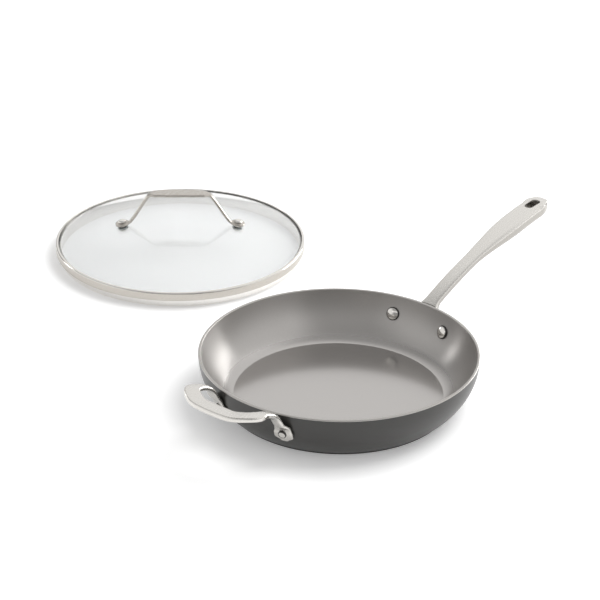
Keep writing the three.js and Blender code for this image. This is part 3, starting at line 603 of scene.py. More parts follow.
def wall_spot(height):
    """Radius of the outer wall at a height, and its outward normal as (radial, upward)."""
    low, high = 0.0, 1.0
    for _ in range(30):
        t = (low + high) / 2
        low, high = (t, high) if outer_wall(t).y < height else (low, t)
    step = 0.001
    along = (outer_wall(min(t + step, 1)) - outer_wall(t - step)).normalized()
    return outer_wall(t).x, Vector((along.y, -along.x))


def on_wall(heading, across, height, stand_off):
    """A point off the outer wall: across is measured round the wall from the heading."""
    radius, out = wall_spot(height)
    turn = heading + across / radius
    reach = radius + stand_off * out.x
    return Vector((reach * math.cos(turn), reach * math.sin(turn), height + stand_off * out.y))


def wall_normal(heading, across, height):
    """The outward normal of the wall at a spot."""
    radius, out = wall_spot(height)
    turn = heading + across / radius
    return Vector((out.x * math.cos(turn), out.x * math.sin(turn), out.y))


def loft(name, loops, material):
    """A closed skin over equal-sized loops of points."""
    count = len(loops[0])
    work = bmesh.new()
    rings = [[work.verts.new(p) for p in loop] for loop in loops]
    for first, second in zip(rings, rings[1:]):
        for j in range(count):
            k = (j + 1) % count
            work.faces.new((first[j], first[k], second[k], second[j]))
    for ring in (rings[0], rings[-1]):
        centre = work.verts.new(sum((v.co for v in ring), Vector()) / count)
        for j in range(count):
            work.faces.new((ring[j], ring[(j + 1) % count], centre))
    mesh = bpy.data.meshes.new(name)
    work.to_mesh(mesh)
    work.free()
    mesh.materials.append(material)
    return smooth(link_mesh(name, mesh))


def power(value, exponent):
    """A power that keeps its sign."""
    return math.copysign(abs(value) ** exponent, value)


def ramp(value, low, high):
    """A smooth step from 0 at low to 1 at high."""
    t = min(1, max(0, (value - low) / (high - low)))
    return t * t * (3 - 2 * t)


def mix(a, b, t):
    """A value between two."""
    return a + (b - a) * t


def path_point(points, t):
    """A point at a share of a centripetal curve through the points."""
    spot = (len(points) - 1) * t
    i = min(int(spot), len(points) - 2)
    w = spot - i
    b, c = points[i], points[i + 1]
    a = points[i - 1] if i > 0 else b * 2 - c
    d = points[i + 2] if i + 2 < len(points) else c * 2 - b
    middle_gap = math.sqrt((c - b).length) or 1
    first_gap = math.sqrt((b - a).length) or middle_gap
    last_gap = math.sqrt((d - c).length) or middle_gap
    leave = (b - a) / first_gap - (c - a) / (first_gap + middle_gap) + (c - b) / middle_gap
    arrive = (c - b) / middle_gap - (d - b) / (middle_gap + last_gap) + (d - c) / last_gap
    leave, arrive = leave * middle_gap, arrive * middle_gap
    cubic = (b * 2 - c * 2 + leave + arrive) * w ** 3
    return cubic + (c * 3 - b * 3 - leave * 2 - arrive) * w ** 2 + leave * w + b


def between(values, t):
    """A value at a share of a list, easing from each to the next."""
    spot = (len(values) - 1) * t
    i = min(int(spot), len(values) - 2)
    return values[i].lerp(values[i + 1], ramp(spot - i, 0, 1))


def bar(name, stations, steps, material, sides=28):
    """A bar along stations of (point, up, width, thickness, squareness)."""
    points = [s[0] for s in stations]
    leans = [s[1] for s in stations]
    sizes = [Vector(s[2:5]) for s in stations]
    step = 0.001
    loops = []
    for i in range(steps + 1):
        t = i / steps
        near, far = max(0, t - step), min(1, t + step)
        along = (path_point(points, far) - path_point(points, near)).normalized()
        across = along.cross(between(leans, t)).normalized()
        through = across.cross(along)
        width, thickness, squareness = between(sizes, t)
        centre = path_point(points, t)
        loop = []
        for j in range(sides):
            angle = (j + 0.5) * math.tau / sides
            a = width / 2 * power(math.cos(angle), 2 / squareness)
            b = thickness / 2 * power(math.sin(angle), 2 / squareness)
            loop.append(centre + across * a + through * b)
        loops.append(loop)
    return loft(name, loops, material)


def place_piece(piece, body, slot, *nodes):
    """Rides a finished piece on its body in place of its solids."""
    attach(piece, body)
    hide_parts(*nodes)
    return piece


class COOKWARE_OT_pan_body(bpy.types.Operator):
    """Turn the pan: anodised outside, coated inside, bare rim edge"""

    bl_idname = "cookware.pan_body"
    bl_label = "Pan body"

    def execute(self, context):
        pan = context.scene.pan_sizes
        wall_steps = 40
        rim_inside = pan.rim_radius - pan.rim_wall
        rim_low = pan.height - 2 * pan.rim_round
        outside = [outer_wall(i / wall_steps) for i in range(wall_steps)]
        inside = [inner_wall(i / wall_steps) for i in reversed(range(wall_steps))]
        base = filleted([(0, 0, 0), (pan.base_radius, 0, pan.base_round), (*outside[0], 0)])
        rim = filleted([
            (pan.rim_radius, rim_low, 0), (pan.rim_radius, pan.height, pan.rim_round),
            (rim_inside, pan.height, pan.rim_round), (rim_inside, rim_low, 0),
        ])
        crease = 0.4 * MM
        floor_slope = 0.9
        profile = [(0, 0), (pan.base_radius - 4 * pan.base_round, 0), *base[1:-1]]
        profile += [tuple(p) for p in outside if p.y < rim_low]
        profile += rim
        profile += [tuple(p) for p in inside if p.y < rim_low]
        profile += [(pan.floor_radius - crease, pan.floor_thickness), (0, pan.floor_thickness)]
        piece = turned("pan", profile, once(hard_anodised_aluminium), pan.segments)
        piece.data.materials.append(once(nonstick_coating))
        piece.data.materials.append(once(turned_aluminium))
        for face in piece.data.polygons:
            outward = face.normal.x * face.center.x + face.normal.y * face.center.y
            if face.center.z > pan.height - pan.rim_round:
                face.material_index = 2
            elif face.normal.z > floor_slope or outward < 0:
                face.material_index = 1
        place_piece(piece, "pan", "pan_body", "pan_body")
        return {"FINISHED"}


def rivet_profile(pan, inside, outside):
    """A domed head, a shank and a spread end, from the head's top to the end's face."""
    head = pan.rivet_head / 2
    end = pan.rivet_end / 2
    shank = pan.rivet_shank / 2
    end_face = outside + 0.8 * MM
    end_round = 0.3 * MM
    dome_steps = 15
    dome = []
    for k in range(dome_steps + 1):
        angle = math.pi / 2 * k / dome_steps
        dome.append((head * math.sin(angle), inside - pan.rivet_dome * math.cos(angle)))
    return dome + filleted([
        (head, inside, 0), (shank, inside, 0), (shank, outside, 0), (end, outside, 0),
        (end, end_face, end_round), (END_SHADE_LINE * end, end_face, 0), (0, end_face, 0),
    ])


class COOKWARE_OT_rivets(bpy.types.Operator):
    """Set a rivet through the wall at each foot of the two handles"""

    bl_idname = "cookware.rivets"
    bl_label = "Handle rivets"

    def execute(self, context):
        pan = context.scene.pan_sizes
        handle = context.scene.long_handle_sizes
        helper = context.scene.helper_sizes
        inside = -4.2 * MM
        flange_gap, foot_gap = 0.6 * MM, 0.9 * MM
        segments = 48
        end_shade_line = END_SHADE_LINE * pan.rivet_end / 2
        head_shade_line = HEAD_SHADE_LINE * pan.rivet_head / 2
        for name, height, outside in (
            ("long_handle_rivet", handle.rivet_height, handle.flange_thickness + flange_gap),
            ("helper_rivet", helper.rivet_height, helper.foot_thickness + foot_gap),
        ):
            for side in ("left", "right"):
                node = f"{name}_{side}"
                spot = middle(node)
                heading = math.atan2(spot.y, spot.x)
                place = on_wall(heading, 0, height, 0)
                facing = wall_normal(heading, 0, height)
                profile = rivet_profile(pan, inside, outside)
                steel = once(polished_stainless)
                piece = turned(node + "_finished", profile, steel, segments, [(place, facing)])
                piece.data.materials.append(once(hard_anodised_aluminium))
                # Painted shade: the rim of a head and of a spread end wears the dark anodised colour, for
                # the shadow in the gap round them
                for face in piece.data.polygons:
                    offset = face.center - place
                    depth = offset.dot(facing)
                    spread = (offset - depth * facing).length
                    if spread > head_shade_line or depth > outside and spread > end_shade_line:
                        face.material_index = 1
                place_piece(piece, "pan", node, node)
        return {"FINISHED"}


class COOKWARE_OT_long_handle(bpy.types.Operator):
    """Loft the long handle from its flange on the wall to the tip, and cut the hang hole"""

    bl_idname = "cookware.long_handle"
    bl_label = "Long handle"

    flange_gap = 0.3 * MM

    def ends(self, handle):
        """Where the spine starts and ends along X."""
        wall_x = wall_spot(handle.rivet_height)[0]
        return wall_x + self.flange_gap + handle.flange_thickness / 2, HANDLE_HIGH.x

    def spine(self, handle, t):
        """A point of the spine as (x, z): it climbs early and levels off towards the tip."""
        root_x, tip_x = self.ends(handle)
        root, tip = handle.root_height, handle.tip_height
        # Shares of the length and of the rise where the curve's two handles stand
        first, second = (0.275, 0.56), (0.7, 0.97)
        return bezier(
            Vector((root_x, root)),
            Vector((mix(root_x, tip_x, first[0]), mix(root, tip, first[1]))),
            Vector((mix(root_x, tip_x, second[0]), mix(root, tip, second[1]))),
            Vector((tip_x, tip)), t)

    def section(self, half, depth, crown, scoop, tightness):
        """Across and rise of a crowned top and a scooped underside; a tightness of 1 squares the top."""
        sides = 56
        soft_top, tight_top, underside = 3.4, 9, 4
        tight_edge = 0.25
        scoop_share = 0.85
        edge = min(0.2 * depth, 0.4 * half) * mix(1, tight_edge, tightness)
        top = 2 / mix(soft_top, tight_top, tightness)
        under = 2 / underside
        points = []
        for j in range(sides):
            angle = (j + 0.5) * math.tau / sides
            c, s = math.cos(angle), math.sin(angle)
            if s > 0:
                points.append((half * power(c, top), (crown + edge) * s ** top - edge))
                continue
            across = half * power(c, under)
            hollow = scoop * max(0, 1 - (across / (scoop_share * half)) ** 2) ** 1.5 * abs(s) ** 0.5
            points.append((across, -edge - (depth - edge) * abs(s) ** under + hollow))
        return points

    def section_at(self, handle, x):
        """The section at a place along X: flared at the root, swelling to the grip, rounded at the tip."""
        root_x, tip_x = self.ends(handle)
        neck_end, grip_start = 0.34, 0.72
        tip_depth = 0.5
        flare = 1 - ramp(x, root_x, root_x + handle.flare_length)
        swell = ramp(x, mix(root_x, tip_x, neck_end), mix(root_x, tip_x, grip_start))
        over = max(0, x - (tip_x - handle.end_length)) / handle.end_length
        taper = math.sqrt(max(0, 1 - over ** 2))
        width = mix(handle.neck_width, handle.grip_width, swell) * taper
        depth = mix(handle.neck_depth, handle.grip_depth, swell) * mix(tip_depth, 1, taper)
        width += flare * (handle.root_width - handle.neck_width)
        depth += flare * (handle.root_depth - handle.neck_depth)
        crown = mix(handle.neck_crown, handle.grip_crown, swell) * taper
        return self.section(width / 2, depth, crown, handle.undercut * taper, min(1, 2 * over))

    def flange_loops(self, handle):
        """Loops over the flange's back and edge, then in over its face to the handle's root."""
        edge = 0.6 * MM
        squareness = 3
        back = self.flange_gap
        face = back + handle.flange_thickness
        half_root = handle.root_depth / 2
        root = self.section_at(handle, self.ends(handle)[0])
        loops = []
        # Share of the flange's size, how far in from its edge, and how far off the wall
        for share, inset, stand_off in (
            (0.02, 0, back), (0.35, 0, back), (0.7, 0, back), (1, edge, back), (1, 0, back + edge),
            (1, 0, face - edge), (1, edge, face),
        ):
            loop = []
            for across, up in root:
                angle = math.atan2(up + half_root, across)
                wide = share * handle.flange_width / 2 - inset
                high = share * handle.flange_height / 2 - inset
                side = wide * power(math.cos(angle), 2 / squareness)
                rise = high * power(math.sin(angle), 2 / squareness)
                loop.append(on_wall(0, side, handle.rivet_height + rise, stand_off))
            loops.append(loop)
        # How much larger than the root, and how far off the wall
        for grow, stand_off in ((4 * MM, 3.9 * MM), (1.4 * MM, 4.9 * MM), (0.2 * MM, 7 * MM)):
            loop = []
            for across, up in root:
                offset = Vector((across, up + half_root))
                offset += offset.normalized() * grow
                loop.append(on_wall(0, offset.x, handle.root_height - half_root + offset.y, stand_off))
            loops.append(loop)
        return loops

    def grip_loops(self, handle):
        """Loops square to the spine from past the root to the tip, closer together towards the tip."""
        stations = 150
        last, ease = 0.998, 1.15
        step = 0.001
        start_x = self.ends(handle)[0] + 9 * MM
        loops = []
        for i in range(stations + 1):
            t = last * math.sin(math.pi / 2 * i / stations) ** ease
            point = self.spine(handle, t)
            if point.x < start_x:
                continue
            along = (self.spine(handle, min(1, t + step)) - self.spine(handle, t - step)).normalized()
            up = Vector((-along.y, 0, along.x))
            section = self.section_at(handle, point.x)
            loops.append([Vector((point.x, across, point.y)) + up * lift for across, lift in section])
        return loops

    def hole_loops(self, handle, hole_x):
        """Loops of a slot that goes down through the grip and widens at its top."""
        sides = 48
        straight = (handle.hole_length - handle.hole_width) / 2
        top = handle.tip_height + 2.4 * MM
        loops = []
        for height, grow in ((-40 * MM, 0), (-1.2 * MM, 0), (-0.4 * MM, 0.3 * MM), (1.6 * MM, 2.4 * MM)):
            radius = handle.hole_width / 2 + grow
            loop = []
            for k in range(sides):
                angle = (k + 0.5) * math.tau / sides
                shift = math.copysign(straight, math.cos(angle))
                loop.append(Vector((
                    hole_x + shift + radius * math.cos(angle), radius * math.sin(angle), top + height)))
            loops.append(loop)
        return loops

    def execute(self, context):
        handle = context.scene.long_handle_sizes
        finishes = context.scene.finishes
        steel = once(satin_stainless, "satin_stainless_handle", 0.0, finishes.handle)
        piece = loft("long_handle_finished", self.flange_loops(handle) + self.grip_loops(handle), steel)
        tip_x = self.ends(handle)[1]
        hole_x = tip_x - handle.hole_from_tip
        combine(piece, loft("hole", self.hole_loops(handle, hole_x), steel), "DIFFERENCE")
        smooth(piece, crease=40)
        piece.data.materials.append(once(satin_stainless, "as_cast_stainless", 0.0, finishes.cast))
        piece.data.materials.append(once(casting_skin))
        # Painted shade: faces that don't look up, the hang hole's walls among them, wear a darker copy of
        # the satin steel, and the tip's edge a dark dull steel for the dark line of shade along it
        side, hole_side, top = 0.2, 0.5, 0.85
        tip_shade_start = tip_x - 0.7 * handle.end_length
        just_over_half = 0.51
        half_length = just_over_half * handle.hole_length
        half_width = just_over_half * handle.hole_width
        for face in piece.data.polygons:
            rise = face.normal.z
            in_hole = abs(face.center.x - hole_x) < half_length and abs(face.center.y) < half_width
            if rise < side or in_hole and rise < hole_side:
                face.material_index = 1
            elif face.center.x > tip_shade_start and rise < top:
                face.material_index = 2
        place_piece(piece, "pan", "long_handle", "long_handle")
        return {"FINISHED"}


class COOKWARE_OT_helper_handle(bpy.types.Operator):
    """Sweep the helper handle from one foot up its arm, round the grip and down to the other foot"""

    bl_idname = "cookware.helper_handle"
    bl_label = "Helper handle"

    def feet(self, helper):
        """Stations up the wall: radius, height, lean, lift, width, thickness and squareness."""
        gap = 0.6 * MM
        stand_off = gap + helper.foot_thickness / 2
        rivet = helper.rivet_height
        low = rivet - helper.foot_below
        stations = []
        for height, share, squareness in (
            (low, 0.42, 4), (low + 5 * MM, 1, 5), (rivet, 1, 5), (rivet + 6 * MM, 0.88, 5),
        ):
            radius, out = wall_spot(height)
            stations.append((
                radius + stand_off * out.x, height + stand_off * out.y, -out.x, -out.y,
                share * helper.foot_width, helper.foot_thickness, squareness))
        return stations

    def arm(self, helper, rim_x, arm_y):
        """Stations off the wall to mid-grip: x, y, z, lean, lift, width, thickness and squareness."""
        bend = helper.bend_height
        grip_x = -HELPER_LOW.x - helper.grip_width / 2
        high = helper.grip_height
        tilt = (math.sin(helper.grip_tilt), math.cos(helper.grip_tilt))
        width, plate = helper.grip_width, helper.grip_thickness
        strap = (helper.strap_width, helper.strap_thickness, 4)
        rod = (helper.arm_width, helper.arm_thickness, 2.8)
        return [
            (rim_x + 6.2 * MM, arm_y, bend - 12.4 * MM, 0.95, 0.31, *strap),
            (rim_x + 14.5 * MM, arm_y, bend, 0.6, 0.75, *rod),
            (rim_x + 27 * MM, arm_y, bend + 7.6 * MM, 0.3, 0.95, *rod),
            (grip_x - 14.7 * MM, 43 * MM, high + 1 * MM, *tilt, 0.87 * width, plate, 4),
            (grip_x - 2 * MM, 24 * MM, high, *tilt, 0.95 * width, plate, 6),
            (grip_x, 8 * MM, high, *tilt, width, plate, 6),
        ]

    def execute(self, context):
        helper = context.scene.helper_sizes
        turn = helper.rivet_angle
        steps = 240
        feet = self.feet(helper)
        rivet_radius = feet[2][0]
        rim_x = context.scene.pan_sizes.rim_radius * math.cos(turn)
        arm = self.arm(helper, rim_x, rivet_radius * math.sin(turn))

        def half(side):
            on_the_wall = [(
                Vector((-radius * math.cos(turn), side * radius * math.sin(turn), height)),
                Vector((-lean * math.cos(turn), side * lean * math.sin(turn), lift)), *form,
            ) for radius, height, lean, lift, *form in feet]
            off_the_wall = [(
                Vector((-x, side * y, z)), Vector((lean, 0, lift)), *form,
            ) for x, y, z, lean, lift, *form in arm]
            return on_the_wall + off_the_wall

        stations = half(-1) + half(1)[::-1]
        steel = once(satin_stainless, "satin_stainless_helper", math.pi / 2, context.scene.finishes.satin)
        piece = bar("helper_handle_finished", stations, steps, steel)
        place_piece(piece, "pan", "helper_handle", "helper_handle")
        return {"FINISHED"}


def lid_place(x, y, z):
    """A point given along and across the lid's handle, from the lid's centre."""
    return LID_CENTRE + Matrix.Rotation(LID_TURN, 3, "Z") @ Vector((x, y, z))


def dome_drop(lid, radius):
    """How far the glass has fallen away from its top at a radius."""
    return lid.dome_radius - math.sqrt(lid.dome_radius ** 2 - radius ** 2)


class COOKWARE_OT_lid_glass(bpy.types.Operator):
    """Turn the glass dome"""

    bl_idname = "cookware.lid_glass"
    bl_label = "Lid glass"

    def execute(self, context):
        lid = context.scene.lid_sizes
        gap = 0.3 * MM
        edge = lid.band_radius - lid.sheet - gap
        top = GLASS_HIGH.z
        steps = 24
        under = [(edge * i / steps, top - dome_drop(lid, edge * i / steps) - lid.glass_thickness)
                 for i in range(steps + 1)]
        over = [(r, z + lid.glass_thickness) for r, z in reversed(under)]
        segments = 256
        place = [(LID_CENTRE, UPWARDS)]
        piece = turned("lid_glass_finished", under + over, once(tempered_glass), segments, place)
        place_piece(piece, "lid", "lid_glass", "lid_glass")
        return {"FINISHED"}


class COOKWARE_OT_lid_band(bpy.types.Operator):
    """Turn the folded steel band round the glass"""

    bl_idname = "cookware.lid_band"
    bl_label = "Lid band"

    def execute(self, context):
        lid = context.scene.lid_sizes
        finishes = context.scene.finishes
        segments = 256
        sheet = lid.sheet
        gap = 0.3 * MM
        bead = 1.8 * MM
        bead_slope = 0.2
        top = lid.lip_depth + lid.band_height
        curl_top = top + 0.4 * MM
        inside = lid.lip_radius - sheet
        seat = GLASS_HIGH.z - dome_drop(lid, lid.lip_radius) - lid.glass_thickness - gap
        curl = lid.band_radius - lid.curl
        profile = filleted([
            (inside, 0.5 * seat, 0),
            (inside, 0, 0.3 * MM), (lid.lip_radius, 0, 0.3 * MM),
            (lid.lip_radius, lid.lip_depth, 0.8 * MM),
            (lid.band_radius, lid.lip_depth, 0.9 * MM),
            (lid.band_radius, top, bead),
            (curl, curl_top, 0.3 * MM), (curl, curl_top - sheet, 0.2 * MM),
            (lid.band_radius - sheet, top - 1.4 * MM, 0.4 * MM),
            (lid.band_radius - sheet, lid.lip_depth + sheet, 0.3 * MM),
            (lid.lip_radius, lid.lip_depth + sheet, 0.2 * MM),
            (lid.lip_radius, seat, 0.2 * MM), (inside, seat, 0.2 * MM),
            (inside, 0.5 * seat, 0),
        ])
        place = [(LID_CENTRE, UPWARDS)]
        steel = once(satin_stainless, "satin_stainless_band", 0.0, finishes.band)
        piece = turned("lid_rim_band_finished", profile, steel, segments, place)
        piece.data.materials.append(once(satin_stainless, "bright_rolled_stainless", 0.0, finishes.lip))
        piece.data.materials.append(once(polished_stainless))
        # Painted reflection: the lip and the faces turned in wear near-white steel for the bright floor
        # they mirror
        for face in piece.data.polygons:
            faces_in = face.normal.xy.dot(face.center.xy - LID_CENTRE.xy) < 0
            on_lip = face.center.z < lid.lip_depth - sheet
            on_bead = face.center.z > top - bead and face.normal.z > bead_slope
            face.material_index = 2 if on_bead else 1 if faces_in or on_lip else 0
        place_piece(piece, "lid", "lid_rim_band", "lid_rim_band")
        return {"FINISHED"}


def lid_foot(side):
    """Where a foot of the lid's handle stands on the glass, and which way the glass faces there."""
    lid = bpy.context.scene.lid_sizes
    radius = LID_FEET.xy.length / 2
    lean = math.asin(radius / lid.dome_radius)
    spot = lid_place(side * radius, 0, GLASS_HIGH.z - dome_drop(lid, radius))
    up = lid_place(side * math.sin(lean), 0, math.cos(lean)) - LID_CENTRE
    return spot, up


class COOKWARE_OT_lid_handle(bpy.types.Operator):
    """Sweep the lid's strap handle and give it two round feet"""

    bl_idname = "cookware.lid_handle"
    bl_label = "Lid handle"

    def execute(self, context):
        lid = context.scene.lid_sizes
        radius = LID_FEET.xy.length / 2
        foot_low = 2.1 * MM
        foot_top = GLASS_HIGH.z - dome_drop(lid, radius) + foot_low + lid.foot_thickness / 2
        grip_top = GLASS_HIGH.z + lid.grip_rise - lid.grip_thickness
        half = lid.grip_length / 2
        leg_width, leg_thick = lid.leg_width, lid.leg_thickness
        # Along the handle, height, lean, lift, width, thickness and squareness, from a foot to the middle
        leg = [
            (radius - 1 * MM, foot_top, 0, 1, leg_width, lid.foot_thickness, 3),
            (radius - 7 * MM, foot_top + 0.8 * MM, 0.15, 1, leg_width, lid.foot_thickness, 3),
            (radius - 12 * MM, foot_top + 6 * MM, 0.8, 0.6, leg_width, leg_thick, 3),
            (half + 3 * MM, grip_top - 9 * MM, 0.85, 0.5, leg_width, leg_thick, 3),
            (half - 3 * MM, grip_top - 1.5 * MM, 0.4, 0.9, 1.3 * leg_width, leg_thick, 3),
            (0.72 * half, grip_top, 0.05, 1, 0.84 * lid.grip_width, lid.grip_thickness, 3.5),
            (0.3 * half, grip_top + 0.6 * MM, 0, 1, lid.grip_width, lid.grip_thickness, 3.5),
        ]

        def leg_stations(side):
            return [(
                lid_place(side * x, 0, z), lid_place(side * lean, 0, lift) - LID_CENTRE, *form,
            ) for x, z, lean, lift, *form in leg]

        steel = once(satin_stainless, "satin_stainless_lid_handle", LID_TURN, context.scene.finishes.band)
        stations = leg_stations(-1) + leg_stations(1)[::-1]
        steps, sides, foot_segments = 160, 24, 64
        piece = bar("lid_handle_finished", stations, steps, steel, sides)
        foot = lid.foot_diameter / 2
        disc_top = foot_low + lid.foot_thickness
        disc = filleted([
            (0, foot_low, 0), (foot, foot_low, 0.5 * MM), (foot, disc_top, 1 * MM), (0, disc_top, 0),
        ])
        for side in (-1, 1):
            combine(piece, turned("foot", disc, steel, foot_segments, [lid_foot(side)]), "UNION")
        smooth(piece, crease=40)
        place_piece(piece, "lid", "lid_handle", "lid_handle")
        return {"FINISHED"}


class COOKWARE_OT_lid_fasteners(bpy.types.Operator):
    """Stack a rivet, two gaskets and a washer at each foot of the lid's handle"""

    bl_idname = "cookware.lid_fasteners"
    bl_label = "Lid fasteners"

    def ring(self, outer, inner, low, high):
        """A flat ring with softened edges."""
        soft = 0.25 * (high - low)
        half = (low + high) / 2
        return filleted([
            (inner, half, 0), (inner, low, soft), (outer, low, soft), (outer, high, soft),
            (inner, high, soft), (inner, half, 0),
        ])

    def execute(self, context):
        lid = context.scene.lid_sizes
        finishes = context.scene.finishes
        segments = 48
        head = lid.head_diameter / 2
        bore, shank = 2.8 * MM, 2.5 * MM
        clear_radius, washer_radius = 6.5 * MM, 5.5 * MM
        # Heights off the top of the glass
        head_low, head_high = 5.4 * MM, 8.4 * MM
        end_low, end_high = -8.2 * MM, -7 * MM
        rivet = filleted([
            (0, end_low, 0), (3.4 * MM, end_low, 0.4 * MM), (4 * MM, end_high, 0), (shank, end_high, 0),
            (shank, head_low, 0), (head, head_low, 0.2 * MM), (head, head_low + 1.8 * MM, 0.9 * MM),
            (0.7 * head, head_high - 0.2 * MM, 0.9 * MM), (0, head_high, 0),
        ])
        dark = once(silicone, "silicone_black", tuple(finishes.gasket), 0.0)
        clear = once(silicone, "silicone_clear", tuple(finishes.clear_gasket), 0.2)
        # Painted light: the washer wears the same near-white steel, though it sits in the glass's shade
        washer_steel = once(satin_stainless, "satin_stainless_washer", 0.0, finishes.lip)
        stacks = (
            ("lid_rivet", rivet, once(polished_stainless)),
            ("lid_upper_gasket", self.ring(lid.gasket_diameter / 2, bore, 0.05 * MM, 2.05 * MM), dark),
            ("lid_lower_gasket", self.ring(clear_radius, bore, -5.3 * MM, -4.05 * MM), clear),
            ("lid_washer", self.ring(washer_radius, bore, -6.7 * MM, -5.9 * MM), washer_steel),
        )
        for side, label in ((-1, "left"), (1, "right")):
            for name, profile, material in stacks:
                node = f"{name}_{label}"
                piece = turned(node + "_finished", profile, material, segments, [lid_foot(side)])
                place_piece(piece, "lid", node, node)
        return {"FINISHED"}


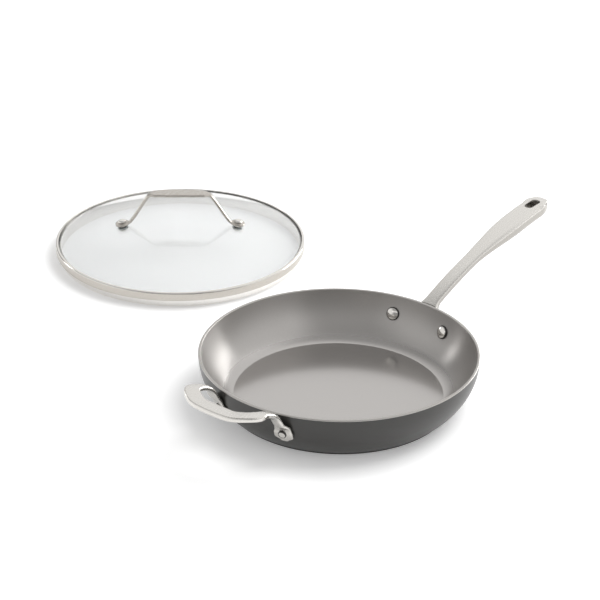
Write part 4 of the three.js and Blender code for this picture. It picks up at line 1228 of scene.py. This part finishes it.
class COOKWARE_OT_stage(bpy.types.Operator):
    """Lay the pale floor, hang the studio lights and set the camera"""

    bl_idname = "cookware.stage"
    bl_label = "Studio"

    def floor(self):
        """A wide pale floor just under the base."""
        half = 8.0
        low = -0.2 * MM
        mesh = bpy.data.meshes.new("floor")
        corners = [(-half, -half, low), (half, -half, low), (half, half, low), (-half, half, low)]
        mesh.from_pydata(corners, [], [(0, 1, 2, 3)])
        piece = link_mesh("floor", mesh)
        material, tree, _, surface = new_material("studio_floor")
        shader = add(tree, "ShaderNodeBsdfPrincipled", {
            "Base Color": (*bpy.context.scene.finishes.floor, 1), "Roughness": 0.8,
            "Specular IOR Level": 0.2, "Emission Color": (1, 1, 1, 1), "Emission Strength": 0.2,
        })
        tree.links.new(shader.outputs["BSDF"], surface)
        mesh.materials.append(material)

    def world(self):
        """A dim studio with a lit backdrop behind on the right, and softer glows at its sides and above."""
        base_level = 0.34
        world = bpy.data.worlds.new("studio")
        bpy.context.scene.world = world
        world.use_nodes = True
        tree = world.node_tree
        tree.nodes.clear()
        way = add(tree, "ShaderNodeTexCoord").outputs["Generated"]
        level = add(tree, "ShaderNodeValue").outputs[0]
        level.default_value = base_level
        # Where a glow is, the cosines at its edge and its core, and how much light it adds
        for direction, edge, core, strength in (
            ((0.716, 0.377, 0.588), 0.66, 0.951, 0.7),
            ((0.438, -0.766, 0.469), 0.6, 0.92, 0.6),
            ((-0.764, 0.645, 0.17), 0.64, 0.94, 0.6),
            ((0, 0, 1), 0.7, 0.95, 0.1),
        ):
            facing = add(tree, "ShaderNodeVectorMath", {0: way, 1: direction}, operation="DOT_PRODUCT")
            glow = add(tree, "ShaderNodeMapRange", {
                "Value": facing.outputs["Value"], "From Min": edge, "From Max": core, "To Max": strength,
            }, interpolation_type="SMOOTHSTEP")
            level = add(tree, "ShaderNodeMath", {0: level, 1: glow.outputs["Result"]}).outputs[0]
        background = add(tree, "ShaderNodeBackground", {"Color": (1, 1, 1, 1), "Strength": level})
        add(tree, "ShaderNodeOutputWorld", {"Surface": background.outputs[0]})

    def lamp(self, name, place, target, width, height, power_watts, mirrored):
        """A soft box aimed at a point, which bright metal mirrors or not."""
        light = bpy.data.lights.new(name, "AREA")
        light.shape = "RECTANGLE"
        light.size = width
        light.size_y = height
        light.energy = power_watts
        lamp = bpy.data.objects.new(name, light)
        bpy.context.scene.collection.objects.link(lamp)
        lamp.visible_glossy = mirrored
        lamp.location = place
        lamp.rotation_euler = (Vector(target) - Vector(place)).to_track_quat("-Z", "Y").to_euler()

    def camera(self):
        """The photograph's viewpoint: where the lens stands, its heading, pitch and roll."""
        place = Vector((-1.5925, -1.2725, 1.1411))
        heading = math.radians(50.17)
        pitch = math.radians(26.67)
        roll = math.radians(0.48)
        ahead = Vector((math.sin(heading) * math.cos(pitch), math.cos(heading) * math.cos(pitch),
                        -math.sin(pitch)))
        level = Vector((math.cos(heading), -math.sin(heading), 0))
        upright = level.cross(ahead)
        right = level * math.cos(roll) + upright * math.sin(roll)
        up = upright * math.cos(roll) - level * math.sin(roll)
        data = bpy.data.cameras.new("camera")
        data.sensor_width = 36
        data.lens = 128.09
        data.clip_start = 0.05
        data.clip_end = 50
        camera = bpy.data.objects.new("camera", data)
        bpy.context.scene.collection.objects.link(camera)
        turn = Matrix((right, up, -ahead)).transposed().to_4x4()
        camera.matrix_world = Matrix.Translation(place) @ turn
        bpy.context.scene.camera = camera

    def execute(self, context):
        self.floor()
        self.world()
        between_pan_and_lid = (0.05, 0.1, 0)
        pan = (0, 0, 0.03)
        # Name, place, target, width, height, watts, and whether bright metal mirrors it
        for lamp in (
            ("key", (0.95, -0.51, 1.9), between_pan_and_lid, 1.4, 1.4, 26, False),
            ("right strip", (1.49, -0.136, 0.34), pan, 0.9, 0.5, 10.5, True),
            ("left strip", (-0.2, 1.49, 0.36), pan, 0.2, 0.5, 1.4, True),
            ("front bar", (-1.177, -0.98, 1.286), pan, 3.6, 0.6, 3.4, True),
        ):
            self.lamp(*lamp)
        self.camera()
        context.scene.view_settings.view_transform = "Standard"
        return {"FINISHED"}


class COOKWARE_PT_pieces(bpy.types.Panel):
    """Sizes, colours and pieces of the pan and its lid"""

    bl_idname = "COOKWARE_PT_pieces"
    bl_label = "Frying pan with lid"
    bl_space_type = "VIEW_3D"
    bl_region_type = "UI"
    bl_category = "Cookware"

    def draw(self, context):
        for group in GROUPS:
            sizes = getattr(context.scene, group)
            box = self.layout.box()
            for name in sizes.__annotations__:
                box.prop(sizes, name)
        for operator in OPERATORS:
            self.layout.operator(operator.bl_idname)


GROUPS = {
    "pan_sizes": PanSizes,
    "long_handle_sizes": LongHandleSizes,
    "helper_sizes": HelperSizes,
    "lid_sizes": LidSizes,
    "finishes": Finishes,
}
OPERATORS = (
    COOKWARE_OT_stage,
    COOKWARE_OT_pan_body,
    COOKWARE_OT_rivets,
    COOKWARE_OT_long_handle,
    COOKWARE_OT_helper_handle,
    COOKWARE_OT_lid_glass,
    COOKWARE_OT_lid_band,
    COOKWARE_OT_lid_handle,
    COOKWARE_OT_lid_fasteners,
)


def register():
    """Registers the sizes, the operators and the panel."""
    for name, group in GROUPS.items():
        bpy.utils.register_class(group)
        setattr(bpy.types.Scene, name, PointerProperty(type=group))
    for operator in OPERATORS:
        bpy.utils.register_class(operator)
    bpy.utils.register_class(COOKWARE_PT_pieces)


def unregister():
    """Takes everything back out."""
    bpy.utils.unregister_class(COOKWARE_PT_pieces)
    for operator in reversed(OPERATORS):
        bpy.utils.unregister_class(operator)
    for name, group in reversed(GROUPS.items()):
        delattr(bpy.types.Scene, name)
        bpy.utils.unregister_class(group)


def main():
    """Builds every piece."""
    register()
    for operator in OPERATORS:
        getattr(bpy.ops.cookware, operator.bl_idname.split(".")[1])()


if __name__ == "__main__":
    main()
